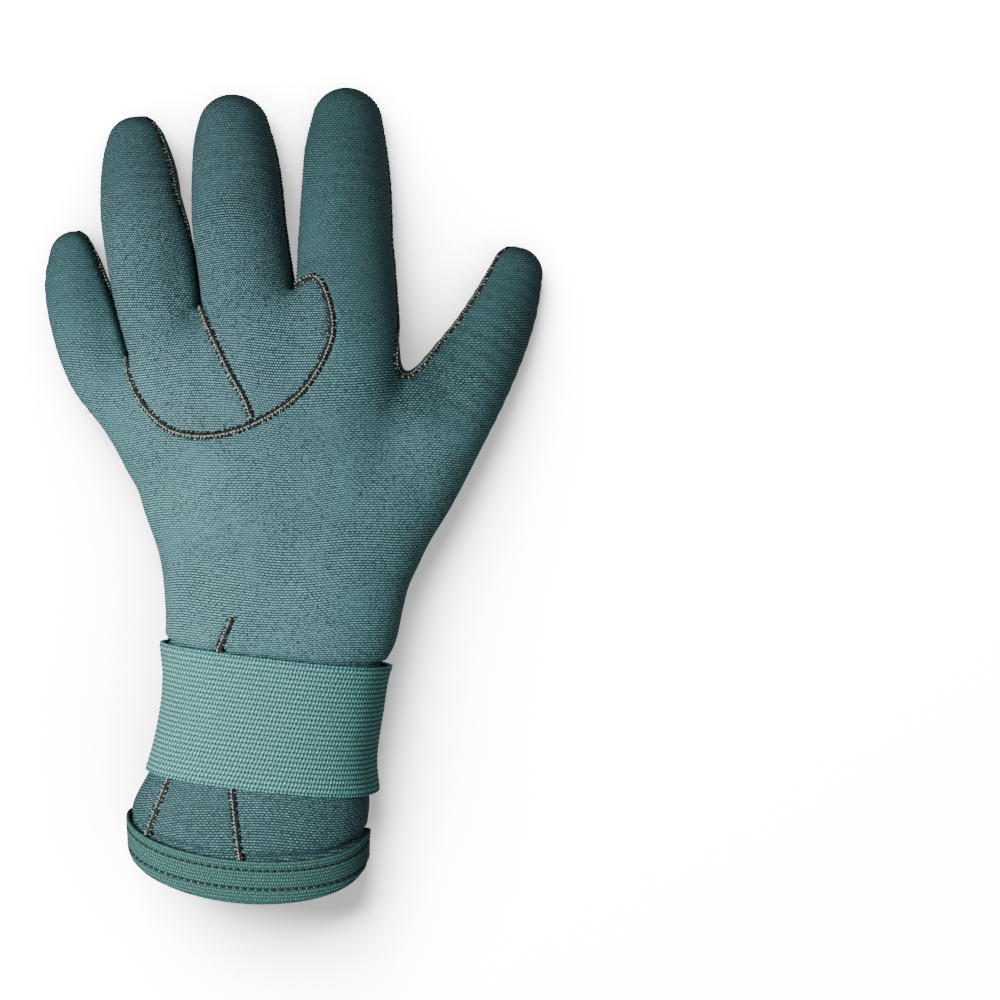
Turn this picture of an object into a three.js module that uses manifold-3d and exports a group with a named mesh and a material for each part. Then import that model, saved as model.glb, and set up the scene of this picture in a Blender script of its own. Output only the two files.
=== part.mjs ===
// A neoprene water-sports glove for the left hand, lying palm down with its back up.
// Units are millimetres: +Z is up, +Y points to the fingertips, +X to the thumb, and the
// glove rests on z = 0. The soft shape is one smooth field: tapered finger tubes blended
// into a body whose cross-sections are rounded ovals. The field's zero level is the
// outside, and its level one wall deeper is the inside.

import * as THREE from 'three';
import { mergeVertices } from 'three/addons/utils/BufferGeometryUtils.js';
import manifoldModule from 'manifold-3d';

const manifoldTools = await manifoldModule();
manifoldTools.setup();

// Driving dimensions
const WALL = 3;
const CLEFT_WALL = 2.6;
const PIECE_GAP = 0.3;
const OUTER_CELL = [6.1, 9.8, 6.1];
const INNER_CELL = [8.5, 13, 7.5];
const CENTRE = { x: -1.8, y: 3.9 };
const MODEL_REACH = { left: -92, right: 92, back: -140, front: 140, bottom: -6, top: 54 };
const CUT_REACH = { x: 120, y: 160, bottom: -20, top: 70 };
const WELD_DISTANCE = 1e-4;
const SETTLING = { probe: 0.4, rounds: 4, farthest: 0.3 };

// Each finger is a row of stations from its tip to its root inside the hand. The half width
// is the tube's, the lean is how far the seam climbs across the tube, per millimetre to +X.
const FINGER_FLATNESS = 0.84;
const FINGERS = {
  little: [
    { x: -72.9, y: 77.5, z: 6.5, halfWidth: 8.6, lean: 0.6 },
    { x: -71.6, y: 67.7, z: 8.0, halfWidth: 11.0, lean: 0.6 },
    { x: -67.8, y: 54.6, z: 11.0, halfWidth: 11.8, lean: 0.3 },
    { x: -62.8, y: 41.6, z: 14.0, halfWidth: 11.5, lean: 0 },
    { x: -54.4, y: 28.7, z: 16.5, halfWidth: 10.3, lean: 0 },
    { x: -46.0, y: 13.9, z: 17.5, halfWidth: 8.5, lean: 0 },
  ],
  ring: [
    { x: -52.8, y: 113.3, z: 7.8, halfWidth: 9.7, lean: 0.6 },
    { x: -52.0, y: 104.5, z: 9.2, halfWidth: 12.4, lean: 0.6 },
    { x: -49.7, y: 93.5, z: 12.3, halfWidth: 14.3, lean: 0.6 },
    { x: -46.5, y: 78.1, z: 16.2, halfWidth: 14.7, lean: 0.3 },
    { x: -43.1, y: 61.9, z: 19.0, halfWidth: 14.6, lean: 0 },
    { x: -39.2, y: 46.0, z: 20.0, halfWidth: 14.4, lean: 0 },
    { x: -34.2, y: 28.7, z: 19.5, halfWidth: 14.4, lean: 0 },
  ],
  middle: [
    { x: -21.5, y: 118.6, z: 8.8, halfWidth: 11.3, lean: 0 },
    { x: -21.0, y: 109.2, z: 10.4, halfWidth: 13.6, lean: 0 },
    { x: -19.6, y: 97.6, z: 13.4, halfWidth: 14.7, lean: 0 },
    { x: -17.3, y: 81.2, z: 17.2, halfWidth: 15.1, lean: 0 },
    { x: -15.0, y: 65.0, z: 19.8, halfWidth: 15.2, lean: 0 },
    { x: -13.4, y: 47.5, z: 20.6, halfWidth: 15.6, lean: 0 },
    { x: -13.0, y: 28.0, z: 20.0, halfWidth: 15.4, lean: 0 },
  ],
  index: [
    { x: 15.4, y: 120.9, z: 8.8, halfWidth: 11.2, lean: 0 },
    { x: 15.2, y: 110.8, z: 10.4, halfWidth: 13.1, lean: 0 },
    { x: 15.6, y: 99.2, z: 13.4, halfWidth: 14.1, lean: 0 },
    { x: 15.5, y: 82.8, z: 17.0, halfWidth: 15.0, lean: 0 },
    { x: 15.7, y: 65.0, z: 19.4, halfWidth: 15.2, lean: 0 },
    { x: 14.5, y: 47.5, z: 20.2, halfWidth: 15.4, lean: 0 },
    { x: 13.0, y: 30.0, z: 19.8, halfWidth: 15.0, lean: 0 },
  ],
  thumb: [
    { x: 70.4, y: 72.0, z: 6.9, halfWidth: 8.8, lean: -0.7 },
    { x: 66.4, y: 60.6, z: 8.8, halfWidth: 11.0, lean: -0.7 },
    { x: 60.4, y: 47.9, z: 11.8, halfWidth: 12.9, lean: -0.7 },
    { x: 52.5, y: 34.7, z: 14.8, halfWidth: 15.0, lean: -0.7 },
    { x: 44.0, y: 21.2, z: 16.4, halfWidth: 16.5, lean: -0.6 },
    { x: 36.0, y: 3.7, z: 17.2, halfWidth: 15.6, lean: -0.3 },
    { x: 26.0, y: -12.0, z: 18.0, halfWidth: 15.5, lean: -0.3 },
  ],
};
const STEPS_PER_STATION = 3;

// The hand and cuff are rounded ovals, one for each row. The distance runs up the hand from
// the cuff, and slants toward the little finger as the row of knuckles does.
const BODY_SECTIONS = [
  { along: -145, left: -50.4, right: 22.6, z: 22.6, halfHeight: 20.4 },
  { along: -109.5, left: -50.4, right: 22.6, z: 22.6, halfHeight: 20.4 },
  { along: -97, left: -50.2, right: 24.0, z: 23.3, halfHeight: 19.2 },
  { along: -84.1, left: -44.0, right: 23.0, z: 23.3, halfHeight: 17.8 },
  { along: -68, left: -40.2, right: 25.2, z: 23.1, halfHeight: 17.0 },
  { along: -56, left: -39.3, right: 27.4, z: 22.7, halfHeight: 16.6 },
  { along: -47, left: -40.3, right: 32.0, z: 22.0, halfHeight: 16.9 },
  { along: -36, left: -40.5, right: 34.5, z: 21.0, halfHeight: 16.9 },
  { along: -20, left: -42.8, right: 38.0, z: 18.4, halfHeight: 18.4 },
  { along: -4, left: -48.2, right: 39.5, z: 17.8, halfHeight: 18.6 },
  { along: 12, left: -52.2, right: 37.5, z: 18.2, halfHeight: 18.2 },
  { along: 28, left: -54.8, right: 33.5, z: 18.8, halfHeight: 17.0 },
  { along: 44, left: -56.2, right: 30.5, z: 19.4, halfHeight: 15.6 },
  { along: 58, left: -55.5, right: 28.0, z: 19.8, halfHeight: 14.0 },
  { along: 75, left: -54.0, right: 27.0, z: 20.0, halfHeight: 12.0 },
];
const OVAL_POWER = 2.3;
const KNUCKLE_SLANT = { slope: 0.4, centreX: -10, startY: 0, fullY: 60 };
const KNUCKLE_END = 61;
const KNUCKLE_ROUNDING = 9;
const FINGER_BLEND = 7;
const THUMB_BLEND = 6;

// The clefts between neighbouring fingers, from the crotch outward, with the gap's width.
const CLEFTS = {
  littleRing: [
    { x: -51.8, y: 44, width: 0.8 }, { x: -54.2, y: 50, width: 0.8 }, { x: -57.4, y: 60, width: 0.9 },
    { x: -60.2, y: 68, width: 1.5 }, { x: -63.6, y: 78, width: 3.2 }, { x: -67.4, y: 88, width: 7 },
    { x: -68.4, y: 138, width: 7 },
  ],
  ringMiddle: [
    { x: -29.2, y: 60, width: 0.8 }, { x: -30.4, y: 68, width: 0.8 }, { x: -32.2, y: 78, width: 0.9 },
    { x: -34.2, y: 88, width: 1.6 }, { x: -36.2, y: 98, width: 4 }, { x: -38.6, y: 138, width: 4 },
  ],
  middleIndex: [
    { x: 0.4, y: 65, width: 0.8 }, { x: -0.7, y: 78, width: 2.4 }, { x: -1.3, y: 88, width: 4 },
    { x: -1.8, y: 98, width: 4 }, { x: -3, y: 138, width: 4 },
  ],
};

// The seam between back and palm runs round the edge of the hand, lower on the thumb side.
const SEAM_DROP = 1.5;
const HAND_SEAM = { littleSide: { x: -50, z: 14 }, thumbSide: { x: 36, z: 6 }, fadeStart: 5, fadeEnd: 45 };
const SEAM_ROWS = [-15, 5, 25, 44, 50, 60, 68, 78, 88, 98, 114, 138];
const SEAM_EDGE = 95;
const THUMB_SIDE_COLUMNS = [16, 32, 44, 56, 76, SEAM_EDGE];
const THUMB_SEAM_BLEND = 12;
const SEAM_STEP_WIDTH = 0.3;
const WRIST_SEAM = [{ x: -SEAM_EDGE, y: -40 }, { x: -42, y: -41 }, { x: -8, y: -45 }, { x: 35, y: -36 },
  { x: SEAM_EDGE, y: -32 }];

// The curved seam round the two inset panels on the knuckles, and the seam between the two.
const INSET_SEAM = [
  { x: 0.4, y: 65 }, { x: 8.4, y: 67.4 }, { x: 13.2, y: 55 }, { x: 11.8, y: 44.5 }, { x: 3.6, y: 31.4 },
  { x: -9.2, y: 22.6 }, { x: -22.5, y: 18.4 }, { x: -35.5, y: 19.6 }, { x: -44.4, y: 26.5 },
  { x: -50.2, y: 36 }, { x: -51.8, y: 44 },
];
const INSET_PARTING = [{ x: -29.2, y: 60 }, { x: -23.6, y: 49 }, { x: -18.2, y: 38 }, { x: -13.2, y: 29 },
  { x: -8.4, y: 16 }];
const LITTLE_SIDE_OUTLINE = [{ x: -SEAM_EDGE, y: 10 }, { x: -SEAM_EDGE, y: 135 }];
const INSET_SEAM_STEPS = 26;
const PARTING_STEPS = 6;

// The cuff
const CUFF_ROUND = { x: -13.9, z: 22.6, halfWidth: 36.5, halfHeight: 20.4 };
const CUFF_END = { y: -112.1, slope: -0.09, bowOnBack: 13.7, bowOnPalm: 9, softening: 0.15, cutBeyond: 30 };
const HEM = { height: 9.5, extraAtMiddle: 3.9, thickness: 1, fold: 0.4, slack: 0.4, run: 2,
  outerSlack: 0.15 };
const GUSSET = { apex: { x: -21.6, y: -48.9 }, left: { x: -45.2, y: -109 }, right: { x: -12.6, y: -118 } };

// The elastic strap, its lap under the wrist and the patch between the laps. Angles are in
// degrees round the wrist, from the thumb's side over the back.
const WRIST_CENTRE = { x: -6.5, z: 22.6, halfWidth: 36, halfHeight: 17 };
const STRAP = { y: -70.0, slope: -0.115, width: 40, thickness: 1.4, start: 308, rampStart: 30,
  rampEnd: -45, end: -148 };
const PATCH = { width: 35, thickness: 1.0, start: -60, end: -138 };
const ROWS_ACROSS_STRAP = [1, 0.5, 0, -0.5, -1];
const ANGLE_STEP = 10;
const ROUND_SEARCH = { near: 0.1, far: 2, halvings: 24 };

function clamp(value, low, high) {
  return Math.min(Math.max(value, low), high);
}

function smoothStep(value) {
  const t = clamp(value, 0, 1);
  return t * t * (3 - 2 * t);
}

// The y that a polyline of {x, y} points has at x, or with the names swapped, its x at y.
function alongPolyline(points, from, to, value) {
  let i = 1;
  while (i < points.length - 1 && value > points[i][from]) i += 1;
  const a = points[i - 1];
  const b = points[i];
  const t = clamp((value - a[from]) / (b[from] - a[from]), 0, 1);
  return a[to] + t * (b[to] - a[to]);
}

// Rows of named numbers, resampled as a smooth curve through every row.
function smoothRows(rows, steps) {
  const at = (i) => rows[clamp(i, 0, rows.length - 1)];
  const result = [];
  for (let i = 0; i < rows.length - 1; i += 1) {
    for (let step = 0; step < steps; step += 1) {
      const t = step / steps;
      const row = {};
      for (const name of Object.keys(rows[0])) {
        const [p0, p1, p2, p3] = [at(i - 1)[name], at(i)[name], at(i + 1)[name], at(i + 2)[name]];
        row[name] = 0.5 * (2 * p1 + (p2 - p0) * t + (2 * p0 - 5 * p1 + 4 * p2 - p3) * t * t
          + (3 * p1 - p0 - 3 * p2 + p3) * t * t * t);
      }
      result.push(row);
    }
  }
  result.push(rows[rows.length - 1]);
  return result;
}

const fingerTubes = {};
for (const [name, stations] of Object.entries(FINGERS)) {
  fingerTubes[name] = smoothRows(stations, STEPS_PER_STATION);
}

function fingerDistance(tube, x, y, z) {
  let nearest = Infinity;
  for (let i = 1; i < tube.length; i += 1) {
    const a = tube[i - 1];
    const b = tube[i];
    const [dx, dy, dz] = [b.x - a.x, b.y - a.y, b.z - a.z];
    const along = ((x - a.x) * dx + (y - a.y) * dy + (z - a.z) * dz) / (dx * dx + dy * dy + dz * dz);
    const t = clamp(along, 0, 1);
    const away = Math.hypot(x - a.x - t * dx, y - a.y - t * dy, (z - a.z - t * dz) / FINGER_FLATNESS);
    nearest = Math.min(nearest, away - a.halfWidth - t * (b.halfWidth - a.halfWidth));
  }
  return nearest;
}

// One column of the body's table at a distance up the hand, as a smooth curve.
function bodyColumn(name, along) {
  const rows = BODY_SECTIONS;
  let i = 0;
  while (i < rows.length - 2 && along > rows[i + 1].along) i += 1;
  const slopeAt = (k) => {
    const low = rows[Math.max(k - 1, 0)];
    const high = rows[Math.min(k + 1, rows.length - 1)];
    return (high[name] - low[name]) / (high.along - low.along);
  };
  const span = rows[i + 1].along - rows[i].along;
  const t = clamp((along - rows[i].along) / span, 0, 1);
  const [t2, t3] = [t * t, t * t * t];
  return (2 * t3 - 3 * t2 + 1) * rows[i][name] + (t3 - 2 * t2 + t) * span * slopeAt(i)
    + (3 * t2 - 2 * t3) * rows[i + 1][name] + (t3 - t2) * span * slopeAt(i + 1);
}

function bodyDistance(x, y, z) {
  const { slope: fullSlant, centreX, startY, fullY } = KNUCKLE_SLANT;
  const along = y - fullSlant * smoothStep((y - startY) / (fullY - startY)) * (x - centreX);
  const left = bodyColumn('left', along);
  const right = bodyColumn('right', along);
  const halfHeight = bodyColumn('halfHeight', along);
  const halfWidth = (right - left) / 2;
  const u = Math.abs(x - (left + right) / 2) / halfWidth;
  const w = Math.abs(z - bodyColumn('z', along)) / halfHeight;
  const size = (u ** OVAL_POWER + w ** OVAL_POWER) ** (1 / OVAL_POWER) + 1e-9;
  const slope = size ** (1 - OVAL_POWER)
    * Math.hypot(u ** (OVAL_POWER - 1) / halfWidth, w ** (OVAL_POWER - 1) / halfHeight) + 1e-9;
  return -blend(-(size - 1) / slope, -(along - KNUCKLE_END), KNUCKLE_ROUNDING);
}

// The smaller of two distances, with a fillet of about this width where they meet.
function blend(a, b, width) {
  const overlap = Math.max(width - Math.abs(a - b), 0) / width;
  return Math.min(a, b) - overlap * overlap * width / 4;
}

// Distance from the glove's outer surface, negative inside.
function gloveDistance(x, y, z) {
  const body = bodyDistance(x, y, z);
  let nearest = Infinity;
  for (const [name, tube] of Object.entries(fingerTubes)) {
    const width = name === 'thumb' ? THUMB_BLEND : FINGER_BLEND;
    nearest = Math.min(nearest, blend(body, fingerDistance(tube, x, y, z), width));
  }
  return nearest;
}

function nearestStation(tube, x, y) {
  const away = (station) => Math.hypot(x - station.x, y - station.y);
  return tube.reduce((nearest, station) => (away(station) < away(nearest) ? station : nearest));
}

// Height of the seam between back and palm at a place in plan.
function seamHeight(x, y) {
  const across = (cleft) => x > alongPolyline(cleft, 'y', 'x', y);
  const heightOn = (tube) => {
    const station = nearestStation(tube, x, y);
    return station.z - SEAM_DROP + station.lean * (x - station.x);
  };
  let onFinger = 0;
  if (!across(CLEFTS.littleRing)) onFinger = heightOn(fingerTubes.little);
  else if (!across(CLEFTS.ringMiddle)) onFinger = heightOn(fingerTubes.ring);
  else if (!across(CLEFTS.middleIndex)) onFinger = heightOn(fingerTubes.middle);
  else {
    const toIndex = fingerDistance(fingerTubes.index, x, y, 0);
    const toThumb = fingerDistance(fingerTubes.thumb, x, y, 0);
    const share = smoothStep(0.5 + (toIndex - toThumb) / THUMB_SEAM_BLEND);
    onFinger = heightOn(fingerTubes.index) * (1 - share) + heightOn(fingerTubes.thumb) * share;
  }
  const { littleSide, thumbSide, fadeStart, fadeEnd } = HAND_SEAM;
  const shareOfWidth = clamp((x - littleSide.x) / (thumbSide.x - littleSide.x), 0, 1);
  const onHand = littleSide.z + shareOfWidth * (thumbSide.z - littleSide.z);
  const fade = smoothStep((y - fadeStart) / (fadeEnd - fadeStart));
  return onHand + fade * (onFinger - onHand);
}

// A closed solid from vertices and triangles whose shared vertices are one.
function solidFrom(positions, triangles) {
  const vertProperties = Float32Array.from(positions);
  const triVerts = Uint32Array.from(triangles);
  return new manifoldTools.Manifold(new manifoldTools.Mesh({ numProp: 3, vertProperties, triVerts }));
}

function solidFromGeometry(geometry) {
  geometry.deleteAttribute('normal');
  geometry.deleteAttribute('uv');
  const merged = mergeVertices(geometry, WELD_DISTANCE);
  return solidFrom(merged.attributes.position.array, merged.index.array);
}

// The triangles of a mesh's largest body. Cutting the clefts can leave loose slivers.
function largestBody(triangles, vertexCount) {
  const root = Uint32Array.from({ length: vertexCount }, (_, i) => i);
  const find = (vertex) => {
    let top = vertex;
    while (root[top] !== top) top = root[top];
    root[vertex] = top;
    return top;
  };
  for (let i = 0; i < triangles.length; i += 3) {
    root[find(triangles[i + 1])] = find(triangles[i]);
    root[find(triangles[i + 2])] = find(triangles[i]);
  }
  const bodies = new Map();
  for (let i = 0; i < triangles.length; i += 3) {
    const body = find(triangles[i]);
    if (!bodies.has(body)) bodies.set(body, []);
    bodies.get(body).push(triangles[i], triangles[i + 1], triangles[i + 2]);
  }
  return [...bodies.values()].reduce((largest, body) => (body.length > largest.length ? body : largest));
}

function geometryFrom(solid) {
  const mesh = solid.getMesh();
  const geometry = new THREE.BufferGeometry();
  geometry.setAttribute('position', new THREE.BufferAttribute(mesh.vertProperties, mesh.numProp));
  geometry.setIndex(largestBody(mesh.triVerts, mesh.vertProperties.length / mesh.numProp));
  return geometry;
}

// Moves a point along the field's slope until it lies on the level.
function settle(point, level, farthest) {
  const { probe, rounds } = SETTLING;
  for (let round = 0; round < rounds; round += 1) {
    const [x, y, z] = point;
    const value = gloveDistance(x, y, z) - level;
    const slope = [
      (gloveDistance(x + probe, y, z) - gloveDistance(x - probe, y, z)) / (2 * probe),
      (gloveDistance(x, y + probe, z) - gloveDistance(x, y - probe, z)) / (2 * probe),
      (gloveDistance(x, y, z + probe) - gloveDistance(x, y, z - probe)) / (2 * probe),
    ];
    const steepness = slope[0] ** 2 + slope[1] ** 2 + slope[2] ** 2 + 1e-6;
    for (let axis = 0; axis < 3; axis += 1) {
      point[axis] -= clamp(value * slope[axis] / steepness, -farthest, farthest);
    }
  }
}

// The closed surface of the field at a level, with one vertex in each grid cell it crosses.
function surfaceAt(level, cell) {
  const { left, right, back, front, bottom, top } = MODEL_REACH;
  const low = [left, back, bottom];
  const counts = [right - left, front - back, top - bottom]
    .map((length, axis) => Math.ceil(length / cell[axis]) + 1);
  const strides = [1, counts[0], counts[0] * counts[1]];
  const values = new Float64Array(counts[0] * counts[1] * counts[2]);
  const edge = (i, axis) => i === 0 || i === counts[axis] - 1;
  for (let k = 0; k < counts[2]; k += 1) {
    for (let j = 0; j < counts[1]; j += 1) {
      for (let i = 0; i < counts[0]; i += 1) {
        const [x, y, z] = [i, j, k].map((index, axis) => low[axis] + index * cell[axis]);
        const value = gloveDistance(x, y, z) - level;
        const atEdge = edge(i, 0) || edge(j, 1) || edge(k, 2);
        values[i + j * strides[1] + k * strides[2]] = atEdge ? Math.max(value, cell[1] / 2) : value;
      }
    }
  }
  const positions = [];
  const vertexOfCell = new Map();
  for (let k = 0; k < counts[2] - 1; k += 1) {
    for (let j = 0; j < counts[1] - 1; j += 1) {
      for (let i = 0; i < counts[0] - 1; i += 1) {
        const crossings = [];
        for (let axis = 0; axis < 3; axis += 1) {
          const [b, c] = [(axis + 1) % 3, (axis + 2) % 3];
          for (const [onB, onC] of [[0, 0], [1, 0], [0, 1], [1, 1]]) {
            const node = [i, j, k];
            node[b] += onB;
            node[c] += onC;
            const start = node[0] + node[1] * strides[1] + node[2] * strides[2];
            const [v0, v1] = [values[start], values[start + strides[axis]]];
            if ((v0 < 0) !== (v1 < 0)) {
              node[axis] += v0 / (v0 - v1);
              crossings.push(node);
            }
          }
        }
        if (crossings.length > 0) {
          const point = [0, 1, 2].map((axis) => low[axis]
            + cell[axis] * crossings.reduce((sum, node) => sum + node[axis], 0) / crossings.length);
          if (point[1] > low[1] + cell[1]) settle(point, level, cell[0] * SETTLING.farthest);
          vertexOfCell.set(i + j * strides[1] + k * strides[2], positions.length / 3);
          positions.push(...point);
        }
      }
    }
  }
  const triangles = [];
  const corner = (index) => new THREE.Vector3().fromArray(positions, 3 * index);
  const addQuad = (a, b, c, d) => {
    if (corner(a).distanceTo(corner(c)) <= corner(b).distanceTo(corner(d))) triangles.push(a, b, c, a, c, d);
    else triangles.push(b, c, d, b, d, a);
  };
  for (let k = 0; k < counts[2] - 1; k += 1) {
    for (let j = 0; j < counts[1] - 1; j += 1) {
      for (let i = 0; i < counts[0] - 1; i += 1) {
        const node = [i, j, k];
        const here = i + j * strides[1] + k * strides[2];
        for (let axis = 0; axis < 3; axis += 1) {
          const [b, c] = [(axis + 1) % 3, (axis + 2) % 3];
          const inside = values[here] < 0;
          if (node[b] > 0 && node[c] > 0 && inside !== (values[here + strides[axis]] < 0)) {
            const ring = [here - strides[b] - strides[c], here - strides[c], here, here - strides[b]]
              .map((key) => vertexOfCell.get(key));
            if (!inside) ring.reverse();
            addQuad(...ring);
          }
        }
      }
    }
  }
  return solidFrom(positions, triangles);
}

function box(low, high) {
  const size = high.map((value, axis) => value - low[axis]);
  const geometry = new THREE.BoxGeometry(...size);
  geometry.translate(...low.map((value, axis) => value + size[axis] / 2));
  return solidFromGeometry(geometry);
}

// Everything between two heights.
function slab(bottom, top) {
  return box([-CUT_REACH.x, -CUT_REACH.y, bottom], [CUT_REACH.x, CUT_REACH.y, top]);
}

// Everything over a plan outline of {x, y} points, between two heights.
function prism(outline, bottom = CUT_REACH.bottom, top = CUT_REACH.top) {
  const shape = new THREE.Shape(outline.map(({ x, y }) => new THREE.Vector2(x, y)));
  const geometry = new THREE.ExtrudeGeometry(shape, { depth: top - bottom, bevelEnabled: false });
  geometry.translate(0, 0, bottom);
  return solidFromGeometry(geometry);
}

// A thin upright curtain along a plan line of {x, y, width} points.
function curtain(points) {
  const left = [];
  const right = [];
  points.forEach((point, i) => {
    const before = points[Math.max(i - 1, 0)];
    const after = points[Math.min(i + 1, points.length - 1)];
    const length = Math.hypot(after.x - before.x, after.y - before.y);
    const side = { x: (after.y - before.y) / length, y: -(after.x - before.x) / length };
    const half = point.width / 2;
    left.push({ x: point.x - side.x * half, y: point.y - side.y * half });
    right.push({ x: point.x + side.x * half, y: point.y + side.y * half });
  });
  return prism([...left, ...right.reverse()]);
}

// A cleft with a wall's thickness added on both sides and at its crotch.
function widerCleft(cleft, wall) {
  const [first, second] = cleft;
  const length = Math.hypot(second.x - first.x, second.y - first.y);
  const crotch = {
    x: first.x + (first.x - second.x) * wall / length,
    y: first.y + (first.y - second.y) * wall / length,
    width: first.width,
  };
  return [crotch, ...cleft].map(({ x, y, width }) => ({ x, y, width: width + 2 * wall }));
}

function seamCurtain(points) {
  return curtain(points.map(({ x, y }) => ({ x, y, width: PIECE_GAP })));
}

function smoothLine(points, count) {
  const spline = new THREE.SplineCurve(points.map(({ x, y }) => new THREE.Vector2(x, y)));
  return spline.getPoints(count).map(({ x, y }) => ({ x, y }));
}

// A solid swept through loops of points, capped at both ends or closed on itself. A cap runs
// as a ladder between a loop's first half and its second half, taken backward.
function sweep(loops, closed = false) {
  const count = loops[0].length;
  const triangles = [];
  const joins = closed ? loops.length : loops.length - 1;
  for (let j = 0; j < joins; j += 1) {
    const here = j * count;
    const next = ((j + 1) % loops.length) * count;
    for (let i = 0; i < count; i += 1) {
      const after = (i + 1) % count;
      triangles.push(here + i, here + after, next + after, here + i, next + after, next + i);
    }
  }
  if (!closed) {
    const last = (loops.length - 1) * count;
    for (let i = 0; i < count / 2 - 1; i += 1) {
      const [a, b, c, d] = [i, i + 1, count - 2 - i, count - 1 - i];
      triangles.push(a, c, b, a, d, c);
      triangles.push(last + a, last + b, last + c, last + a, last + c, last + d);
    }
  }
  return solidFrom(loops.flat(2), triangles);
}

// The palm's side of the seam, as a solid below the seam's height less a gap.
function belowSeam(gap) {
  const loops = [null, ...SEAM_ROWS].map((rowY) => {
    const xs = [-SEAM_EDGE];
    for (const cleft of Object.values(CLEFTS)) {
      const x = alongPolyline(cleft, 'y', 'x', rowY ?? SEAM_ROWS[0]);
      xs.push((xs[xs.length - 1] + x) / 2, x - SEAM_STEP_WIDTH / 2, x + SEAM_STEP_WIDTH / 2);
    }
    xs.push(...THUMB_SIDE_COLUMNS);
    const top = xs.map((x) => {
      const y = rowY ?? alongPolyline(WRIST_SEAM, 'x', 'y', x) + gap;
      return [x, y, seamHeight(x, y) - gap];
    });
    return [...top, ...top.map(([x, y]) => [x, y, CUT_REACH.bottom]).reverse()];
  });
  return sweep(loops);
}

function angleList(start, end, step = ANGLE_STEP) {
  const count = Math.round(Math.abs(end - start) / step);
  return Array.from({ length: count + 1 }, (_, i) => start + (end - start) * i / count);
}

// The point at an angle round the arm where the field has this level. A rule gives y from x.
function pointRound(centre, degrees, level, yAt) {
  const angle = THREE.MathUtils.degToRad(degrees);
  const direction = { x: centre.halfWidth * Math.cos(angle), z: centre.halfHeight * Math.sin(angle) };
  let { near, far } = ROUND_SEARCH;
  for (let halving = 0; halving < ROUND_SEARCH.halvings; halving += 1) {
    const t = (near + far) / 2;
    const x = centre.x + direction.x * t;
    if (gloveDistance(x, yAt(x), centre.z + direction.z * t) < level) near = t;
    else far = t;
  }
  const x = centre.x + direction.x * far;
  return [x, yAt(x), centre.z + direction.z * far];
}

// A band round the wrist of this width and thickness, at a distance off the glove that may
// change with the angle.
function wristBand(angles, width, thickness, offsetAt) {
  const loops = angles.map((degrees) => {
    const place = (across, level) => pointRound(WRIST_CENTRE, degrees, level,
      (x) => STRAP.y + STRAP.slope * (x - WRIST_CENTRE.x) + across * width / 2);
    const inner = ROWS_ACROSS_STRAP.map((across) => place(across, offsetAt(degrees)));
    const outer = ROWS_ACROSS_STRAP.map((across) => place(across, offsetAt(degrees) + thickness));
    return [...inner, ...outer.reverse()];
  });
  return sweep(loops);
}

const LAP_OFFSET = STRAP.thickness + PATCH.thickness + 3 * PIECE_GAP;

function wristStrap() {
  const angles = angleList(STRAP.end, STRAP.start);
  const rise = LAP_OFFSET - PIECE_GAP;
  const offsetAt = (degrees) => PIECE_GAP
    + rise * smoothStep((STRAP.rampStart - degrees) / (STRAP.rampStart - STRAP.rampEnd));
  return wristBand(angles, STRAP.width, STRAP.thickness, offsetAt);
}

function hookPatch() {
  const offset = STRAP.thickness + 2 * PIECE_GAP;
  return wristBand(angleList(PATCH.end, PATCH.start), PATCH.width, PATCH.thickness, () => offset);
}

// Where the cuff's hem ends, at an angle round the arm and a place across it.
function cuffEndY(degrees, x) {
  const sine = Math.sin(THREE.MathUtils.degToRad(degrees));
  const { softening, bowOnBack, bowOnPalm } = CUFF_END;
  const bow = (sine > 0 ? bowOnBack : bowOnPalm) * (Math.hypot(sine, softening) - softening);
  return CUFF_END.y + CUFF_END.slope * (x - CUFF_ROUND.x) - bow;
}

// The hem is taller in the middle of the back and palm than at the hand's edges.
function hemHeight(degrees) {
  return HEM.height + HEM.extraAtMiddle * Math.abs(Math.sin(THREE.MathUtils.degToRad(degrees)));
}

// The folded hem: one ply outside the cuff, one inside, joined round the cuff's edge.
function hemBand() {
  const outside = PIECE_GAP + HEM.outerSlack;
  const inside = -WALL - PIECE_GAP;
  const { thickness, fold } = HEM;
  const loops = angleList(0, 360 - ANGLE_STEP).map((degrees) => {
    const height = hemHeight(degrees);
    const profile = [
      { level: outside, back: height }, { level: outside, back: thickness },
      { level: inside, back: thickness }, { level: inside, back: height },
      { level: inside - thickness, back: height }, { level: inside - thickness, back: thickness * fold },
      { level: inside, back: 0 }, { level: outside, back: 0 },
      { level: outside + thickness, back: thickness * fold }, { level: outside + thickness, back: height },
    ];
    return profile.map(({ level, back }) =>
      pointRound(CUFF_ROUND, degrees, level, (x) => cuffEndY(degrees, x) + back));
  });
  return sweep(loops, true);
}

// What is cut from the cuff for the hem: all beyond its edge, and a film off the inside.
function hemClearance() {
  const ring = (level, back) => angleList(0, 360 - ANGLE_STEP).map((degrees) =>
    pointRound(CUFF_ROUND, degrees, level, (x) => cuffEndY(degrees, x) + back));
  const edge = HEM.thickness + PIECE_GAP;
  const film = -WALL + HEM.slack;
  const deep = -WALL * 3;
  const farEnd = -CUFF_END.cutBeyond;
  const beyond = sweep([ring(deep, edge), ring(WALL, edge), ring(WALL, farEnd), ring(deep, farEnd)]);
  const deepest = HEM.height + HEM.extraAtMiddle + HEM.run;
  const inside = sweep([deepest, deepest / 2, 0, farEnd].map((back) => ring(film, back)));
  return beyond.add(inside);
}

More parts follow.
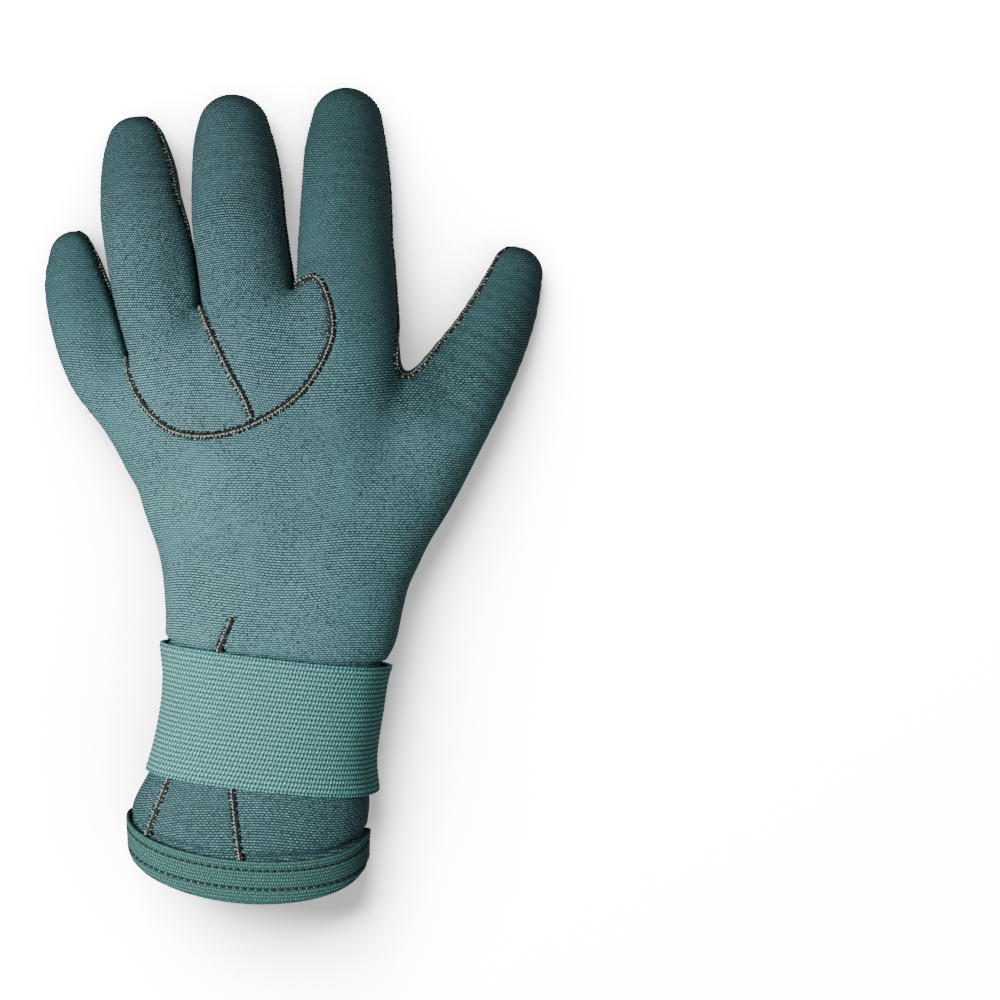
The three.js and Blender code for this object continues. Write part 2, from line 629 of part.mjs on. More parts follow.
let outerForm = surfaceAt(0, OUTER_CELL).subtract(slab(CUT_REACH.bottom, 0));
for (const cleft of Object.values(CLEFTS)) outerForm = outerForm.subtract(curtain(cleft));
let hollow = surfaceAt(-WALL, INNER_CELL).subtract(slab(CUT_REACH.bottom, WALL));
for (const cleft of Object.values(CLEFTS)) hollow = hollow.subtract(curtain(widerCleft(cleft, CLEFT_WALL)));
const shell = outerForm.subtract(hollow).subtract(hemClearance());

const palm = shell.intersect(belowSeam(PIECE_GAP / 2));
const insetSeam = smoothLine(INSET_SEAM, INSET_SEAM_STEPS);
const parting = smoothLine(INSET_PARTING, PARTING_STEPS);
const seamCurtains = seamCurtain(insetSeam).add(seamCurtain(parting));
const backs = shell.subtract(belowSeam(-PIECE_GAP / 2)).subtract(seamCurtains);
const insets = prism([...insetSeam, ...CLEFTS.littleRing, ...[...CLEFTS.middleIndex].reverse()]);
const leftOfParting = prism([...[...CLEFTS.ringMiddle].reverse(), ...parting, ...LITTLE_SIDE_OUTLINE]);
const ringBack = backs.intersect(insets).intersect(leftOfParting);
const middleBack = backs.intersect(insets).subtract(leftOfParting);
const wholeBack = backs.subtract(insets);
const upperHalf = slab(CUFF_ROUND.z, CUT_REACH.top);
const gussetSeams = seamCurtain([GUSSET.left, GUSSET.apex, GUSSET.right]).intersect(upperHalf);
const gussetWedge = prism([GUSSET.left, GUSSET.right, GUSSET.apex], CUFF_ROUND.z);
const gusset = wholeBack.intersect(gussetWedge).subtract(gussetSeams);
const back = wholeBack.subtract(gussetWedge).subtract(gussetSeams);

// The scene
const FINISHES = {
  knit: { color: '#2f5558', roughness: 0.9 },
  inset: { color: '#376064', roughness: 0.9 },
  print: { color: '#3f7377', roughness: 0.55 },
  elastic: { color: '#4f8a8c', roughness: 0.85 },
  hem: { color: '#284d51', roughness: 0.9 },
};

function pieceMesh(name, solid, finish) {
  const material = new THREE.MeshStandardMaterial({ ...finish, metalness: 0 });
  const mesh = new THREE.Mesh(geometryFrom(solid), material);
  mesh.name = name;
  return mesh;
}

const glove = new THREE.Group();
glove.position.set(-CENTRE.x, -CENTRE.y, 0);
glove.add(
  pieceMesh('back_panel', back, FINISHES.knit),
  pieceMesh('ring_back_panel', ringBack, FINISHES.inset),
  pieceMesh('middle_back_panel', middleBack, FINISHES.inset),
  pieceMesh('palm_panel', palm, FINISHES.print),
  pieceMesh('cuff_gusset', gusset, FINISHES.knit),
  pieceMesh('hem_band', hemBand(), FINISHES.hem),
  pieceMesh('wrist_strap', wristStrap(), FINISHES.elastic),
  pieceMesh('hook_patch', hookPatch(), FINISHES.elastic),
);

export default glove;
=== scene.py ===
"""Looks for a neoprene water-sports glove that lies palm down.

The glove's outer surface is one smooth field, meshed finely here, cut into its sewn panels and
given a wall. Seam threads, the ribbed strap, the bound hem and the palm's print are modelled on it.
Tables are in millimetres in the drawing's frame, and every mesh is placed in metres.
"""

import math

import bpy
import numpy as np
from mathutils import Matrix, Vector


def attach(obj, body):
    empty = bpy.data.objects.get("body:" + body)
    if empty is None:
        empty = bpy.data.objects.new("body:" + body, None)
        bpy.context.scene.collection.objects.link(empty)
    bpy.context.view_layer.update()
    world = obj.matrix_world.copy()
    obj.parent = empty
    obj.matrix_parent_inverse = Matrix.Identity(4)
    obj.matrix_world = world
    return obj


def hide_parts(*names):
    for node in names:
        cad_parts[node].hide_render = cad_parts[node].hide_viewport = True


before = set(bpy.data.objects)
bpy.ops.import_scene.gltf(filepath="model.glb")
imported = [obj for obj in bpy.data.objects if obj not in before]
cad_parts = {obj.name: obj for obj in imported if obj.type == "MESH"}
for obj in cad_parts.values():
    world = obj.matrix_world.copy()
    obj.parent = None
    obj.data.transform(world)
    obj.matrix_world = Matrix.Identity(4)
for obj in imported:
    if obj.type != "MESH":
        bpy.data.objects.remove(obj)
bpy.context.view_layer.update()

# Driving dimensions, as in the part's source
CENTRE = (-1.8, 3.9)
WALL = 3.0
PIECE_GAP = 0.3
FINGER_FLATNESS = 0.84
FINGERS = {
    # rows of x, y, z, half width, lean, from the tip to the root
    "little": [(-72.9, 77.5, 6.5, 8.6, 0.6), (-71.6, 67.7, 8.0, 11.0, 0.6), (-67.8, 54.6, 11.0, 11.8, 0.3),
               (-62.8, 41.6, 14.0, 11.5, 0), (-54.4, 28.7, 16.5, 10.3, 0), (-46.0, 13.9, 17.5, 8.5, 0)],
    "ring": [(-52.8, 113.3, 7.8, 9.7, 0.6), (-52.0, 104.5, 9.2, 12.4, 0.6), (-49.7, 93.5, 12.3, 14.3, 0.6),
             (-46.5, 78.1, 16.2, 14.7, 0.3), (-43.1, 61.9, 19.0, 14.6, 0), (-39.2, 46.0, 20.0, 14.4, 0),
             (-34.2, 28.7, 19.5, 14.4, 0)],
    "middle": [(-21.5, 118.6, 8.8, 11.3, 0), (-21.0, 109.2, 10.4, 13.6, 0), (-19.6, 97.6, 13.4, 14.7, 0),
               (-17.3, 81.2, 17.2, 15.1, 0), (-15.0, 65.0, 19.8, 15.2, 0), (-13.4, 47.5, 20.6, 15.6, 0),
               (-13.0, 28.0, 20.0, 15.4, 0)],
    "index": [(15.4, 120.9, 8.8, 11.2, 0), (15.2, 110.8, 10.4, 13.1, 0), (15.6, 99.2, 13.4, 14.1, 0),
              (15.5, 82.8, 17.0, 15.0, 0), (15.7, 65.0, 19.4, 15.2, 0), (14.5, 47.5, 20.2, 15.4, 0),
              (13.0, 30.0, 19.8, 15.0, 0)],
    "thumb": [(70.4, 72.0, 6.9, 8.8, -0.7), (66.4, 60.6, 8.8, 11.0, -0.7), (60.4, 47.9, 11.8, 12.9, -0.7),
              (52.5, 34.7, 14.8, 15.0, -0.7), (44.0, 21.2, 16.4, 16.5, -0.6), (36.0, 3.7, 17.2, 15.6, -0.3),
              (26.0, -12.0, 18.0, 15.5, -0.3)],
}
BODY_SECTIONS = np.array([
    # distance up the hand, left, right, centre height, half height
    (-145, -50.4, 22.6, 22.6, 20.4), (-109.5, -50.4, 22.6, 22.6, 20.4), (-97, -50.2, 24.0, 23.3, 19.2),
    (-84.1, -44.0, 23.0, 23.3, 17.8), (-68, -40.2, 25.2, 23.1, 17.0), (-56, -39.3, 27.4, 22.7, 16.6),
    (-47, -40.3, 32.0, 22.0, 16.9), (-36, -40.5, 34.5, 21.0, 16.9), (-20, -42.8, 38.0, 18.4, 18.4),
    (-4, -48.2, 39.5, 17.8, 18.6), (12, -52.2, 37.5, 18.2, 18.2), (28, -54.8, 33.5, 18.8, 17.0),
    (44, -56.2, 30.5, 19.4, 15.6), (58, -55.5, 28.0, 19.8, 14.0), (75, -54.0, 27.0, 20.0, 12.0),
])
OVAL_POWER = 2.3
KNUCKLE_SLANT = {"slope": 0.4, "centre_x": -10, "full_y": 60}
KNUCKLE_END = 61
KNUCKLE_ROUNDING = 9
FINGER_BLEND = 7
THUMB_BLEND = 6
FINGER_MARGIN = 14
CLEFTS = {
    # rows of x, y, gap
    "little_ring": [(-51.8, 44, 0.8), (-54.2, 50, 0.8), (-57.4, 60, 0.9), (-60.2, 68, 1.5),
                    (-63.6, 78, 3.2), (-67.4, 88, 7), (-68.4, 138, 7)],
    "ring_middle": [(-29.2, 60, 0.8), (-30.4, 68, 0.8), (-32.2, 78, 0.9), (-34.2, 88, 1.6),
                    (-36.2, 98, 4), (-38.6, 138, 4)],
    "middle_index": [(0.4, 65, 0.8), (-0.7, 78, 2.4), (-1.3, 88, 4), (-1.8, 98, 4),
                     (-3, 138, 4)],
}
SEAM_DROP = 1.5
HAND_SEAM = {"x": (-50, 36), "z": (14, 6), "fade": (5, 45)}
THUMB_SEAM_BLEND = 12
WRIST_SEAM = np.array([(-95, -40), (-42, -41), (-8, -45), (35, -36), (95, -32)], float)
INSET_SEAM = [(0.4, 65), (8.4, 67.4), (13.2, 55), (11.8, 44.5), (3.6, 31.4), (-9.2, 22.6), (-22.5, 18.4),
              (-35.5, 19.6), (-44.4, 26.5), (-50.2, 36), (-51.8, 44)]
INSET_PARTING = [(-29.2, 60), (-23.6, 49), (-18.2, 38), (-13.2, 29), (-8.4, 16)]
CUFF_ROUND = {"x": -13.9, "z": 22.6, "half_width": 36.5, "half_height": 20.4}
CUFF_END = {"y": -112.1, "slope": -0.09, "bow_on_back": 13.7, "bow_on_palm": 9, "softening": 0.15}
HEM = {"height": 9.5, "extra_at_middle": 3.9, "thickness": 1, "outer_slack": 0.15}
GUSSET = {"apex": (-21.6, -48.9), "left": (-45.2, -109), "right": (-12.6, -118), "tail": (-17.1, -37.8)}
WRIST_ROUND = {"x": -6.5, "z": 22.6, "half_width": 36, "half_height": 17}
STRAP = {"y": -70.0, "slope": -0.115, "width": 40, "thickness": 1.4, "start": 308, "ramp": (30, -45),
         "end": -148}
PATCH = {"width": 35, "thickness": 1.0, "start": -60, "end": -138}

# What this script alone uses.
GRID = 1.05
STRAP_GRID = {"angles": 229, "rows": 217}
HEM_GRID = {"degrees": 1.5, "rows": 64}
GRID_LOW = np.array([-86.0, -128.0, -3.0])
GRID_HIGH = np.array([86.0, 136.0, 46.0])
MESHED_GAP = 2.0
DRAWN_GAP = 0.7
CLOSED_GAP = 0.8
GAP_EASING = 3.0
CLEFT_ROUNDING = 3.0
FLOOR_ROUNDING = 2.0
SEAM_GROOVE = {"depth": 0.9, "reach": 2.2}
FINGER_CREASE = [(-29.2, 60), (-33.0, 57.0)]
WEB_HOLLOW = {"x": 47, "y": 32, "reach": 11, "depth": 2.4}
EDGE_CREASE = {"beyond": 0.5, "depth": 2.2, "reach": 1.6}
STITCH_PITCH = 1.15
STRAP_RIBS = 27
RIB_PITCH = STRAP["width"] / STRAP_RIBS
HEM_RIB_PITCH = 1.0
METRE = 0.001


def smooth_step(value):
    t = np.clip(value, 0, 1)
    return t * t * (3 - 2 * t)


def blend(a, b, width):
    """The smaller of two distances, with a fillet of about this width where they meet."""
    overlap = np.maximum(width - np.abs(a - b), 0) / width
    return np.minimum(a, b) - overlap * overlap * width / 4


def smooth_rows(rows, steps):
    """Rows of numbers, resampled as a smooth curve through every row."""
    rows = np.asarray(rows, float)
    last = len(rows) - 1
    result = []
    for i in range(last):
        p0, p1, p2, p3 = rows[max(i - 1, 0)], rows[i], rows[i + 1], rows[min(i + 2, last)]
        for t in np.arange(steps) / steps:
            result.append(0.5 * (2 * p1 + (p2 - p0) * t + (2 * p0 - 5 * p1 + 4 * p2 - p3) * t ** 2
                                 + (3 * p1 - p0 - 3 * p2 + p3) * t ** 3))
    result.append(rows[-1])
    return np.array(result)


FINGER_TUBES = {name: smooth_rows(rows, 3) for name, rows in FINGERS.items()}


def finger_distance(tube, points):
    """Distance from a tapering tube that is flatter than it is wide."""
    nearest = np.full(len(points), 1e3)
    for a, b in zip(tube[:-1], tube[1:]):
        axis = b[:3] - a[:3]
        t = np.clip((points - a[:3]) @ axis / (axis @ axis), 0, 1)
        away = points - a[:3] - t[:, None] * axis
        size = np.sqrt(away[:, 0] ** 2 + away[:, 1] ** 2 + (away[:, 2] / FINGER_FLATNESS) ** 2)
        nearest = np.minimum(nearest, size - a[3] - t * (b[3] - a[3]))
    return nearest


def body_columns(along):
    """The table's left, right, height and half height at distances up the hand."""
    rows = BODY_SECTIONS
    i = np.clip(np.searchsorted(rows[:, 0], along) - 1, 0, len(rows) - 2)
    before = np.maximum(np.arange(len(rows)) - 1, 0)
    after = np.minimum(np.arange(len(rows)) + 1, len(rows) - 1)
    slopes = (rows[after, 1:] - rows[before, 1:]) / (rows[after, :1] - rows[before, :1])
    span = (rows[i + 1, 0] - rows[i, 0])[:, None]
    t = np.clip((along - rows[i, 0])[:, None] / span, 0, 1)
    t2, t3 = t * t, t * t * t
    return ((2 * t3 - 3 * t2 + 1) * rows[i, 1:] + (t3 - 2 * t2 + t) * span * slopes[i]
            + (3 * t2 - 2 * t3) * rows[i + 1, 1:] + (t3 - t2) * span * slopes[i + 1]).T


def body_distance(points):
    """Distance from the hand, wrist and cuff, which end under the slanting row of knuckles."""
    x, y, z = points.T
    slant = KNUCKLE_SLANT["slope"] * smooth_step(y / KNUCKLE_SLANT["full_y"])
    along = y - slant * (x - KNUCKLE_SLANT["centre_x"])
    left, right, height, half_height = body_columns(along)
    half_width = (right - left) / 2
    u = np.abs(x - (left + right) / 2) / half_width
    w = np.abs(z - height) / half_height
    size = (u ** OVAL_POWER + w ** OVAL_POWER) ** (1 / OVAL_POWER) + 1e-9
    slope = size ** (1 - OVAL_POWER) * np.hypot(
        u ** (OVAL_POWER - 1) / half_width, w ** (OVAL_POWER - 1) / half_height) + 1e-9
    return -blend(-(size - 1) / slope, -(along - KNUCKLE_END), KNUCKLE_ROUNDING)


def glove_distance(points):
    """Distance from the glove's outside before the fingers are parted, negative inside."""
    points = np.asarray(points, float)
    distance = body_distance(points)
    for name, tube in FINGER_TUBES.items():
        reach = tube[:, 3].max() + FINGER_MARGIN
        low = tube[:, :3].min(axis=0) - reach
        high = tube[:, :3].max(axis=0) + reach
        near = np.all((points > low) & (points < high), axis=1)
        width = THUMB_BLEND if name == "thumb" else FINGER_BLEND
        distance[near] = blend(distance[near], finger_distance(tube, points[near]), width)
    return distance


def line_place(points, line):
    """Distance in plan to a line, the line's row at the nearest place, and the way from there."""
    line = np.asarray(line, float)
    best = np.full(len(points), 1e6)
    away = np.zeros((len(points), 2))
    row = np.zeros((len(points), line.shape[1]))
    for a, b in zip(line[:-1], line[1:]):
        axis = (b - a)[:2]
        offset = points[:, :2] - a[:2]
        t = np.clip(offset @ axis / max(axis @ axis, 1e-9), 0, 1)
        from_line = offset - t[:, None] * axis
        distance = np.hypot(from_line[:, 0], from_line[:, 1])
        closer = distance < best
        best[closer] = distance[closer]
        away[closer] = from_line[closer]
        row[closer] = (a + t[:, None] * (b - a))[closer]
    return best, row, away


def near_cleft(points, cleft, back, sideways):
    """Which points lie at most this far back from a cleft's root, and this far to its sides."""
    x, y, _ = cleft[0]
    return (points[:, 1] > y - back) & (np.abs(points[:, 0] - x) < sideways)


def parted_distance(points):
    """Distance from the glove's outside, with the fingers parted and the rest flattened at z = 0."""
    points = np.asarray(points, float)
    distance = glove_distance(points)
    for cleft in CLEFTS.values():
        near = near_cleft(points, cleft, back=12, sideways=40)
        away, row, _ = line_place(points[near], cleft)
        gap = np.maximum(row[:, 2], MESHED_GAP) / 2
        distance[near] = -blend(-distance[near], away - gap, CLEFT_ROUNDING)
    return -blend(-distance, points[:, 2], FLOOR_ROUNDING)


def slope_of(field, points, probe=0.35):
    """A field's slope, measured this far to each side."""
    slope = np.zeros((len(points), 3))
    for axis in range(3):
        step = np.zeros(3)
        step[axis] = probe
        slope[:, axis] = (field(points + step) - field(points - step)) / (2 * probe)
    return slope


def unit(vectors):
    return vectors / np.maximum(np.linalg.norm(vectors, axis=-1, keepdims=True), 1e-9)


def way_out(points):
    return unit(slope_of(parted_distance, points, 0.6))


def surface_net(values, low, step):
    """Vertices and quads of a grid's zero surface, with one vertex in each cell that it crosses."""
    inside = values < 0
    cells = np.array(values.shape) - 1
    total = np.zeros((*cells, 3))
    count = np.zeros(cells)
    crossings = []
    for axis in range(3):
        others = [k for k in range(3) if k != axis]
        start = [slice(None)] * 3
        end = [slice(None)] * 3
        start[axis], end[axis] = slice(None, -1), slice(1, None)
        v0, v1 = values[tuple(start)], values[tuple(end)]
        crossed = inside[tuple(start)] != inside[tuple(end)]
        t = np.where(crossed, v0 / np.where(crossed, v0 - v1, 1), 0)
        crossings.append((crossed, inside[tuple(start)]))
        for on_b in (0, 1):
            for on_c in (0, 1):
                part = [slice(None)] * 3
                part[others[0]] = slice(on_b, on_b + cells[others[0]])
                part[others[1]] = slice(on_c, on_c + cells[others[1]])
                hit = crossed[tuple(part)]
                count += hit
                total[..., axis] += t[tuple(part)]
                total[..., others[0]] += hit * on_b
                total[..., others[1]] += hit * on_c
    used = np.argwhere(count > 0)
    index = np.full(cells, -1)
    index[tuple(used.T)] = np.arange(len(used))
    mean = total[tuple(used.T)] / count[tuple(used.T)][:, None]
    vertices = low + step * (used + mean)
    quads = []
    for axis in range(3):
        b, c = (axis + 1) % 3, (axis + 2) % 3
        crossed, from_inside = crossings[axis]
        places = np.argwhere(crossed)
        places = places[(places[:, b] > 0) & (places[:, c] > 0)
                        & (places[:, b] < cells[b]) & (places[:, c] < cells[c])]
        step_b = np.eye(3, dtype=int)[b]
        step_c = np.eye(3, dtype=int)[c]
        ring = [index[tuple((places - back).T)] for back in (step_b + step_c, step_c, 0 * step_b, step_b)]
        ring = np.array(ring).T
        flip = ~from_inside[tuple(places.T)]
        ring[flip] = ring[flip][:, ::-1]
        quads.append(ring)
    return vertices, np.concatenate(quads)


def triangles_of(vertices, quads):
    """Each quad as two triangles, split along its shorter diagonal."""
    a, b, c, d = (vertices[quads[:, k]] for k in range(4))
    first = np.linalg.norm(a - c, axis=1) <= np.linalg.norm(b - d, axis=1)
    one = np.where(first[:, None], quads[:, [0, 1, 2]], quads[:, [1, 2, 3]])
    two = np.where(first[:, None], quads[:, [0, 2, 3]], quads[:, [1, 3, 0]])
    return np.concatenate([one, two])


def clip(vertices, triangles, values):
    """The part of a mesh where the values are over zero. What a row of a vertex holds is cut with it."""
    keep = values > 0
    state = keep[triangles].sum(axis=1)
    cut = triangles[(state == 1) | (state == 2)]
    kept_alone = keep[cut].sum(axis=1) == 1
    odd = np.argmax(keep[cut] == kept_alone[:, None], axis=1)
    rolled = cut[np.arange(len(cut))[:, None], (odd[:, None] + np.arange(3)) % 3]
    edges = np.sort(np.concatenate([rolled[:, [0, 1]], rolled[:, [0, 2]]]), axis=1)
    unique, which = np.unique(edges, axis=0, return_inverse=True)
    which = which.reshape(-1)
    v0, v1 = values[unique[:, 0]], values[unique[:, 1]]
    # The cut keeps a little way off every corner, so that it leaves no sliver
    t = np.clip(v0 / (v0 - v1), 0.02, 0.98)[:, None]
    extra = vertices[unique[:, 0]] * (1 - t) + vertices[unique[:, 1]] * t
    to_a = which[:len(cut)] + len(vertices)
    to_b = which[len(cut):] + len(vertices)
    alone = np.stack([rolled[:, 0], to_a, to_b], axis=1)[kept_alone]
    pair = ~kept_alone
    low = np.stack([to_a, rolled[:, 1], rolled[:, 2]], axis=1)[pair]
    high = np.stack([to_a, rolled[:, 2], to_b], axis=1)[pair]
    faces = np.concatenate([triangles[state == 3], alone, low, high])
    joined = np.concatenate([vertices, extra])
    used, faces = np.unique(faces, return_inverse=True)
    return joined[used], faces.reshape(-1, 3)


def border_edges(triangles):
    """Directed edges that only one triangle has."""
    edges = np.concatenate([triangles[:, [0, 1]], triangles[:, [1, 2]], triangles[:, [2, 0]]])
    keys = edges[:, 0].astype(np.int64) * (edges.max() + 1) + edges[:, 1]
    reverse = edges[:, 1].astype(np.int64) * (edges.max() + 1) + edges[:, 0]
    return edges[~np.isin(keys, reverse)]


def outline_distance(points, outline):
    """Distance in plan from a closed outline, over zero inside it."""
    x, y = points[:, 0], points[:, 1]
    closed = np.array([*outline, outline[0]], float)
    nearest, _, _ = line_place(points, closed)
    inside = np.zeros(len(points), bool)
    for a, b in zip(closed[:-1], closed[1:]):
        axis = b - a
        if axis[1] != 0:
            crosses = (a[1] > y) != (b[1] > y)
            inside ^= crosses & (x < axis[0] * (y - a[1]) / axis[1] + a[0])
    return np.where(inside, nearest, -nearest)


def seam_height_on(tube, points):
    """Height of a finger's seam at places in plan."""
    _, row, _ = line_place(points, tube)
    return row[:, 2] - SEAM_DROP + row[:, 4] * (points[:, 0] - row[:, 0])


def seam_height(points):
    """Height of the seam between back and palm at places in plan."""
    x, y = points[:, 0], points[:, 1]
    flat = np.column_stack([x, y, np.zeros(len(x))])
    to_index = finger_distance(FINGER_TUBES["index"], flat)
    to_thumb = finger_distance(FINGER_TUBES["thumb"], flat)
    share = smooth_step(0.5 + (to_index - to_thumb) / THUMB_SEAM_BLEND)
    on_finger = (seam_height_on(FINGER_TUBES["index"], points) * (1 - share)
                 + seam_height_on(FINGER_TUBES["thumb"], points) * share)
    for cleft, name in (("middle_index", "middle"), ("ring_middle", "ring"), ("little_ring", "little")):
        rows = np.array(CLEFTS[cleft])
        past_cleft = x > np.interp(y, rows[:, 1], rows[:, 0])
        on_finger = np.where(past_cleft, on_finger, seam_height_on(FINGER_TUBES[name], points))
    on_hand = np.interp(x, HAND_SEAM["x"], HAND_SEAM["z"])
    fade_start, fade_end = HAND_SEAM["fade"]
    fade = smooth_step((y - fade_start) / (fade_end - fade_start))
    return on_hand + fade * (on_finger - on_hand)


def palm_side(points):
    """Over zero on the palm's panel."""
    above_wrist = points[:, 1] - np.interp(points[:, 0], WRIST_SEAM[:, 0], WRIST_SEAM[:, 1])
    return np.minimum(seam_height(points) - points[:, 2], above_wrist)


INSET_LINE = smooth_rows(INSET_SEAM, 10)
PARTING_LINE = smooth_rows(INSET_PARTING, 10)
INSET_OUTLINE = [*INSET_LINE, *[row[:2] for row in CLEFTS["little_ring"]],
                 *[row[:2] for row in CLEFTS["middle_index"][::-1]]]
RING_OUTLINE = [*[row[:2] for row in CLEFTS["ring_middle"][::-1]], *PARTING_LINE, (-95, 10), (-95, 135)]
GUSSET_OUTLINE = [GUSSET["left"], (-50, -140), (-10, -140), GUSSET["right"], GUSSET["apex"]]


def gusset_side(points):
    """Over zero on the cuff's wedge."""
    return np.minimum(outline_distance(points, GUSSET_OUTLINE), points[:, 2] - CUFF_ROUND["z"])


def cuff_angle(points):
    return np.arctan2((points[:, 2] - CUFF_ROUND["z"]) / CUFF_ROUND["half_height"],
                      (points[:, 0] - CUFF_ROUND["x"]) / CUFF_ROUND["half_width"])


def cuff_end_y(angle, x):
    """Where the cuff ends, further down the arm at the middle of the back and of the palm side."""
    sine = np.sin(angle)
    soft = CUFF_END["softening"]
    bow = np.where(sine > 0, CUFF_END["bow_on_back"], CUFF_END["bow_on_palm"])
    return CUFF_END["y"] + CUFF_END["slope"] * (x - CUFF_ROUND["x"]) - bow * (np.hypot(sine, soft) - soft)


def glove_skin():
    """The glove's outer surface, settled onto the field after it is meshed: points and triangles."""
    axes = [np.arange(GRID_LOW[k], GRID_HIGH[k] + GRID, GRID) for k in range(3)]
    grid = np.stack(np.meshgrid(*axes, indexing="ij"), axis=-1)
    blocks = np.array_split(grid.reshape(-1, 3), 12)
    values = np.concatenate([parted_distance(block) for block in blocks])
    points, quads = surface_net(values.reshape(grid.shape[:3]), GRID_LOW, GRID)
    for _ in range(2):
        value = parted_distance(points)
        slope = slope_of(parted_distance, points)
        move = value[:, None] * slope / (np.sum(slope * slope, axis=1, keepdims=True) + 1e-3)
        points -= np.clip(move, -GRID / 2, GRID / 2)
    return points, triangles_of(points, quads)


skin, skin_triangles = glove_skin()
# Each row is the outside's x, y, z and the way out
skin_rows = np.column_stack([skin, way_out(skin)])


def close_clefts(points):
    """Fingers that touch in the photograph are drawn almost together, closer than the grid can mesh."""
    moved = points.copy()
    for cleft in CLEFTS.values():
        near = near_cleft(points, cleft, back=6, sideways=30)
        away, row, from_line = line_place(points[near], cleft)
        meshed = np.maximum(row[:, 2], MESHED_GAP) / 2
        closed = np.minimum(meshed, (DRAWN_GAP + row[:, 2] - CLOSED_GAP) / 2)
        drawn = np.where(row[:, 2] < MESHED_GAP, closed, meshed)
        eased = drawn + (away - meshed) * (meshed + GAP_EASING - drawn) / GAP_EASING
        target = np.where(away < meshed, away * drawn / meshed, eased)
        target = np.where(away > meshed + GAP_EASING, away, target)
        scale = target / np.maximum(away, 1e-6)
        moved[near, :2] += from_line * (scale - 1)[:, None]
    return moved


def seam_closeness(points):
    """1 on a seam and 0 a groove's reach away from every seam."""
    nearest = np.abs(palm_side(points))
    above = points[:, 2] > seam_height(points)
    gusset_left = [GUSSET["left"], GUSSET["apex"], GUSSET["tail"]]
    gusset_right = [GUSSET["apex"], GUSSET["right"]]
    # The parting line's last rows lie past the inset seam
    for line in (INSET_LINE, PARTING_LINE[:-6], FINGER_CREASE, gusset_left, gusset_right):
        away, _, _ = line_place(points, line)
        nearest = np.where(above, np.minimum(nearest, away), nearest)
    return np.clip(1 - nearest / SEAM_GROOVE["reach"], 0, 1)


def place(points):
    """Drawing millimetres to the row's metres."""
    return (np.asarray(points, float) - (CENTRE[0], CENTRE[1], 0)) * METRE


glove_pieces = []


def make_piece(name, vertices, faces, materials, face_material=None, uv=None, replaces=None):
    mesh = bpy.data.meshes.new(name)
    mesh.from_pydata(place(vertices).tolist(), [], [list(map(int, face)) for face in faces])
    for material in materials:
        mesh.materials.append(material)
    if face_material is not None:
        mesh.polygons.foreach_set("material_index", np.asarray(face_material, np.int32))
    if uv is not None:
        layer = mesh.uv_layers.new(name="weave")
        loops = np.empty(len(mesh.loops), np.int32)
        mesh.loops.foreach_get("vertex_index", loops)
        layer.data.foreach_set("uv", np.asarray(uv, float)[loops].ravel())
    mesh.polygons.foreach_set("use_smooth", np.ones(len(mesh.polygons), bool))
    mesh.update()
    piece = bpy.data.objects.new(name, mesh)
    bpy.context.scene.collection.objects.link(piece)
    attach(piece, "root")
    if replaces:
        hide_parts(*replaces)
    glove_pieces.append(piece)
    return piece


# Materials
KNIT_COURSE = 0.74
KNIT_DRIFT = {"scale": 0.022, "reach": 9.0}
FINGERS_FADE = (10.0, 60.0)
CUFF_FADE = (-88.0, -74.0)
# Knit lightness by region: darker up the fingers, partly the stretched knit and partly painted shade, and
# darker on the cuff below the strap, painted shade
KNIT_LEVEL = {"hand": 0.43, "fingers": 0.26, "cuff": -0.24}
KNIT_CONTRAST = {"hand": 1.0, "fingers": 0.4, "cuff": 0.6}
# Painted shade: the knit's colour is darkened round the web between thumb and index finger
WEB_PAINTED_SHADE = {"at": (43, 31, 22), "near": 4, "far": 20, "darker": 0.24}


def srgb(red, green, blue):
    """A colour given as it looks on screen, from 0 to 255, as the shader's linear values."""
    values = [channel / 255 for channel in (red, green, blue)]
    return tuple(v / 12.92 if v <= 0.04045 else ((v + 0.055) / 1.055) ** 2.4 for v in values) + (1.0,)


def node(tree, kind, inputs=None, **settings):
    made = tree.nodes.new(kind)
    for key, value in settings.items():
        setattr(made, key, value)
    for key, value in (inputs or {}).items():
        if isinstance(value, bpy.types.NodeSocket):
            tree.links.new(value, made.inputs[key])
        else:
            made.inputs[key].default_value = value
    return made


def maths(tree, operation, a, b=0.0, c=0.0):
    return node(tree, "ShaderNodeMath", {0: a, 1: b, 2: c}, operation=operation).outputs[0]


def mix_colours(tree, share, a, b):
    return node(tree, "ShaderNodeMix", {0: share, 6: a, 7: b}, data_type="RGBA").outputs[2]


def wave(tree, value, pitch):
    """Runs from 0 to 1 and back once a pitch."""
    turned = maths(tree, "MULTIPLY", value, 2 * math.pi / pitch)
    return maths(tree, "MULTIPLY_ADD", maths(tree, "COSINE", turned), 0.5, 0.5)


def noise(tree, vector, scale, detail=2.0, roughness=0.5):
    made = node(tree, "ShaderNodeTexNoise", {"Vector": vector, "Scale": scale, "Detail": detail,
                                             "Roughness": roughness})
    return made.outputs["Fac"], made.outputs["Color"]


def start_material(name, roughness):
    material = bpy.data.materials.new(name)
    material.use_nodes = True
    tree = material.node_tree
    shader = tree.nodes["Principled BSDF"]
    shader.inputs["Roughness"].default_value = roughness
    shader.inputs["Specular IOR Level"].default_value = 0.35
    return material, tree, shader


def add_bump(tree, shader, height, distance_mm, strength=1.0):
    bump = node(tree, "ShaderNodeBump", {"Height": height, "Distance": distance_mm * METRE,
                                         "Strength": strength})
    tree.links.new(bump.outputs["Normal"], shader.inputs["Normal"])


def scaled(tree, vector, factor):
    return node(tree, "ShaderNodeVectorMath", {0: vector, "Scale": factor}, operation="SCALE").outputs[0]


def millimetres(tree):
    return scaled(tree, node(tree, "ShaderNodeTexCoord").outputs["Object"], 1000.0)


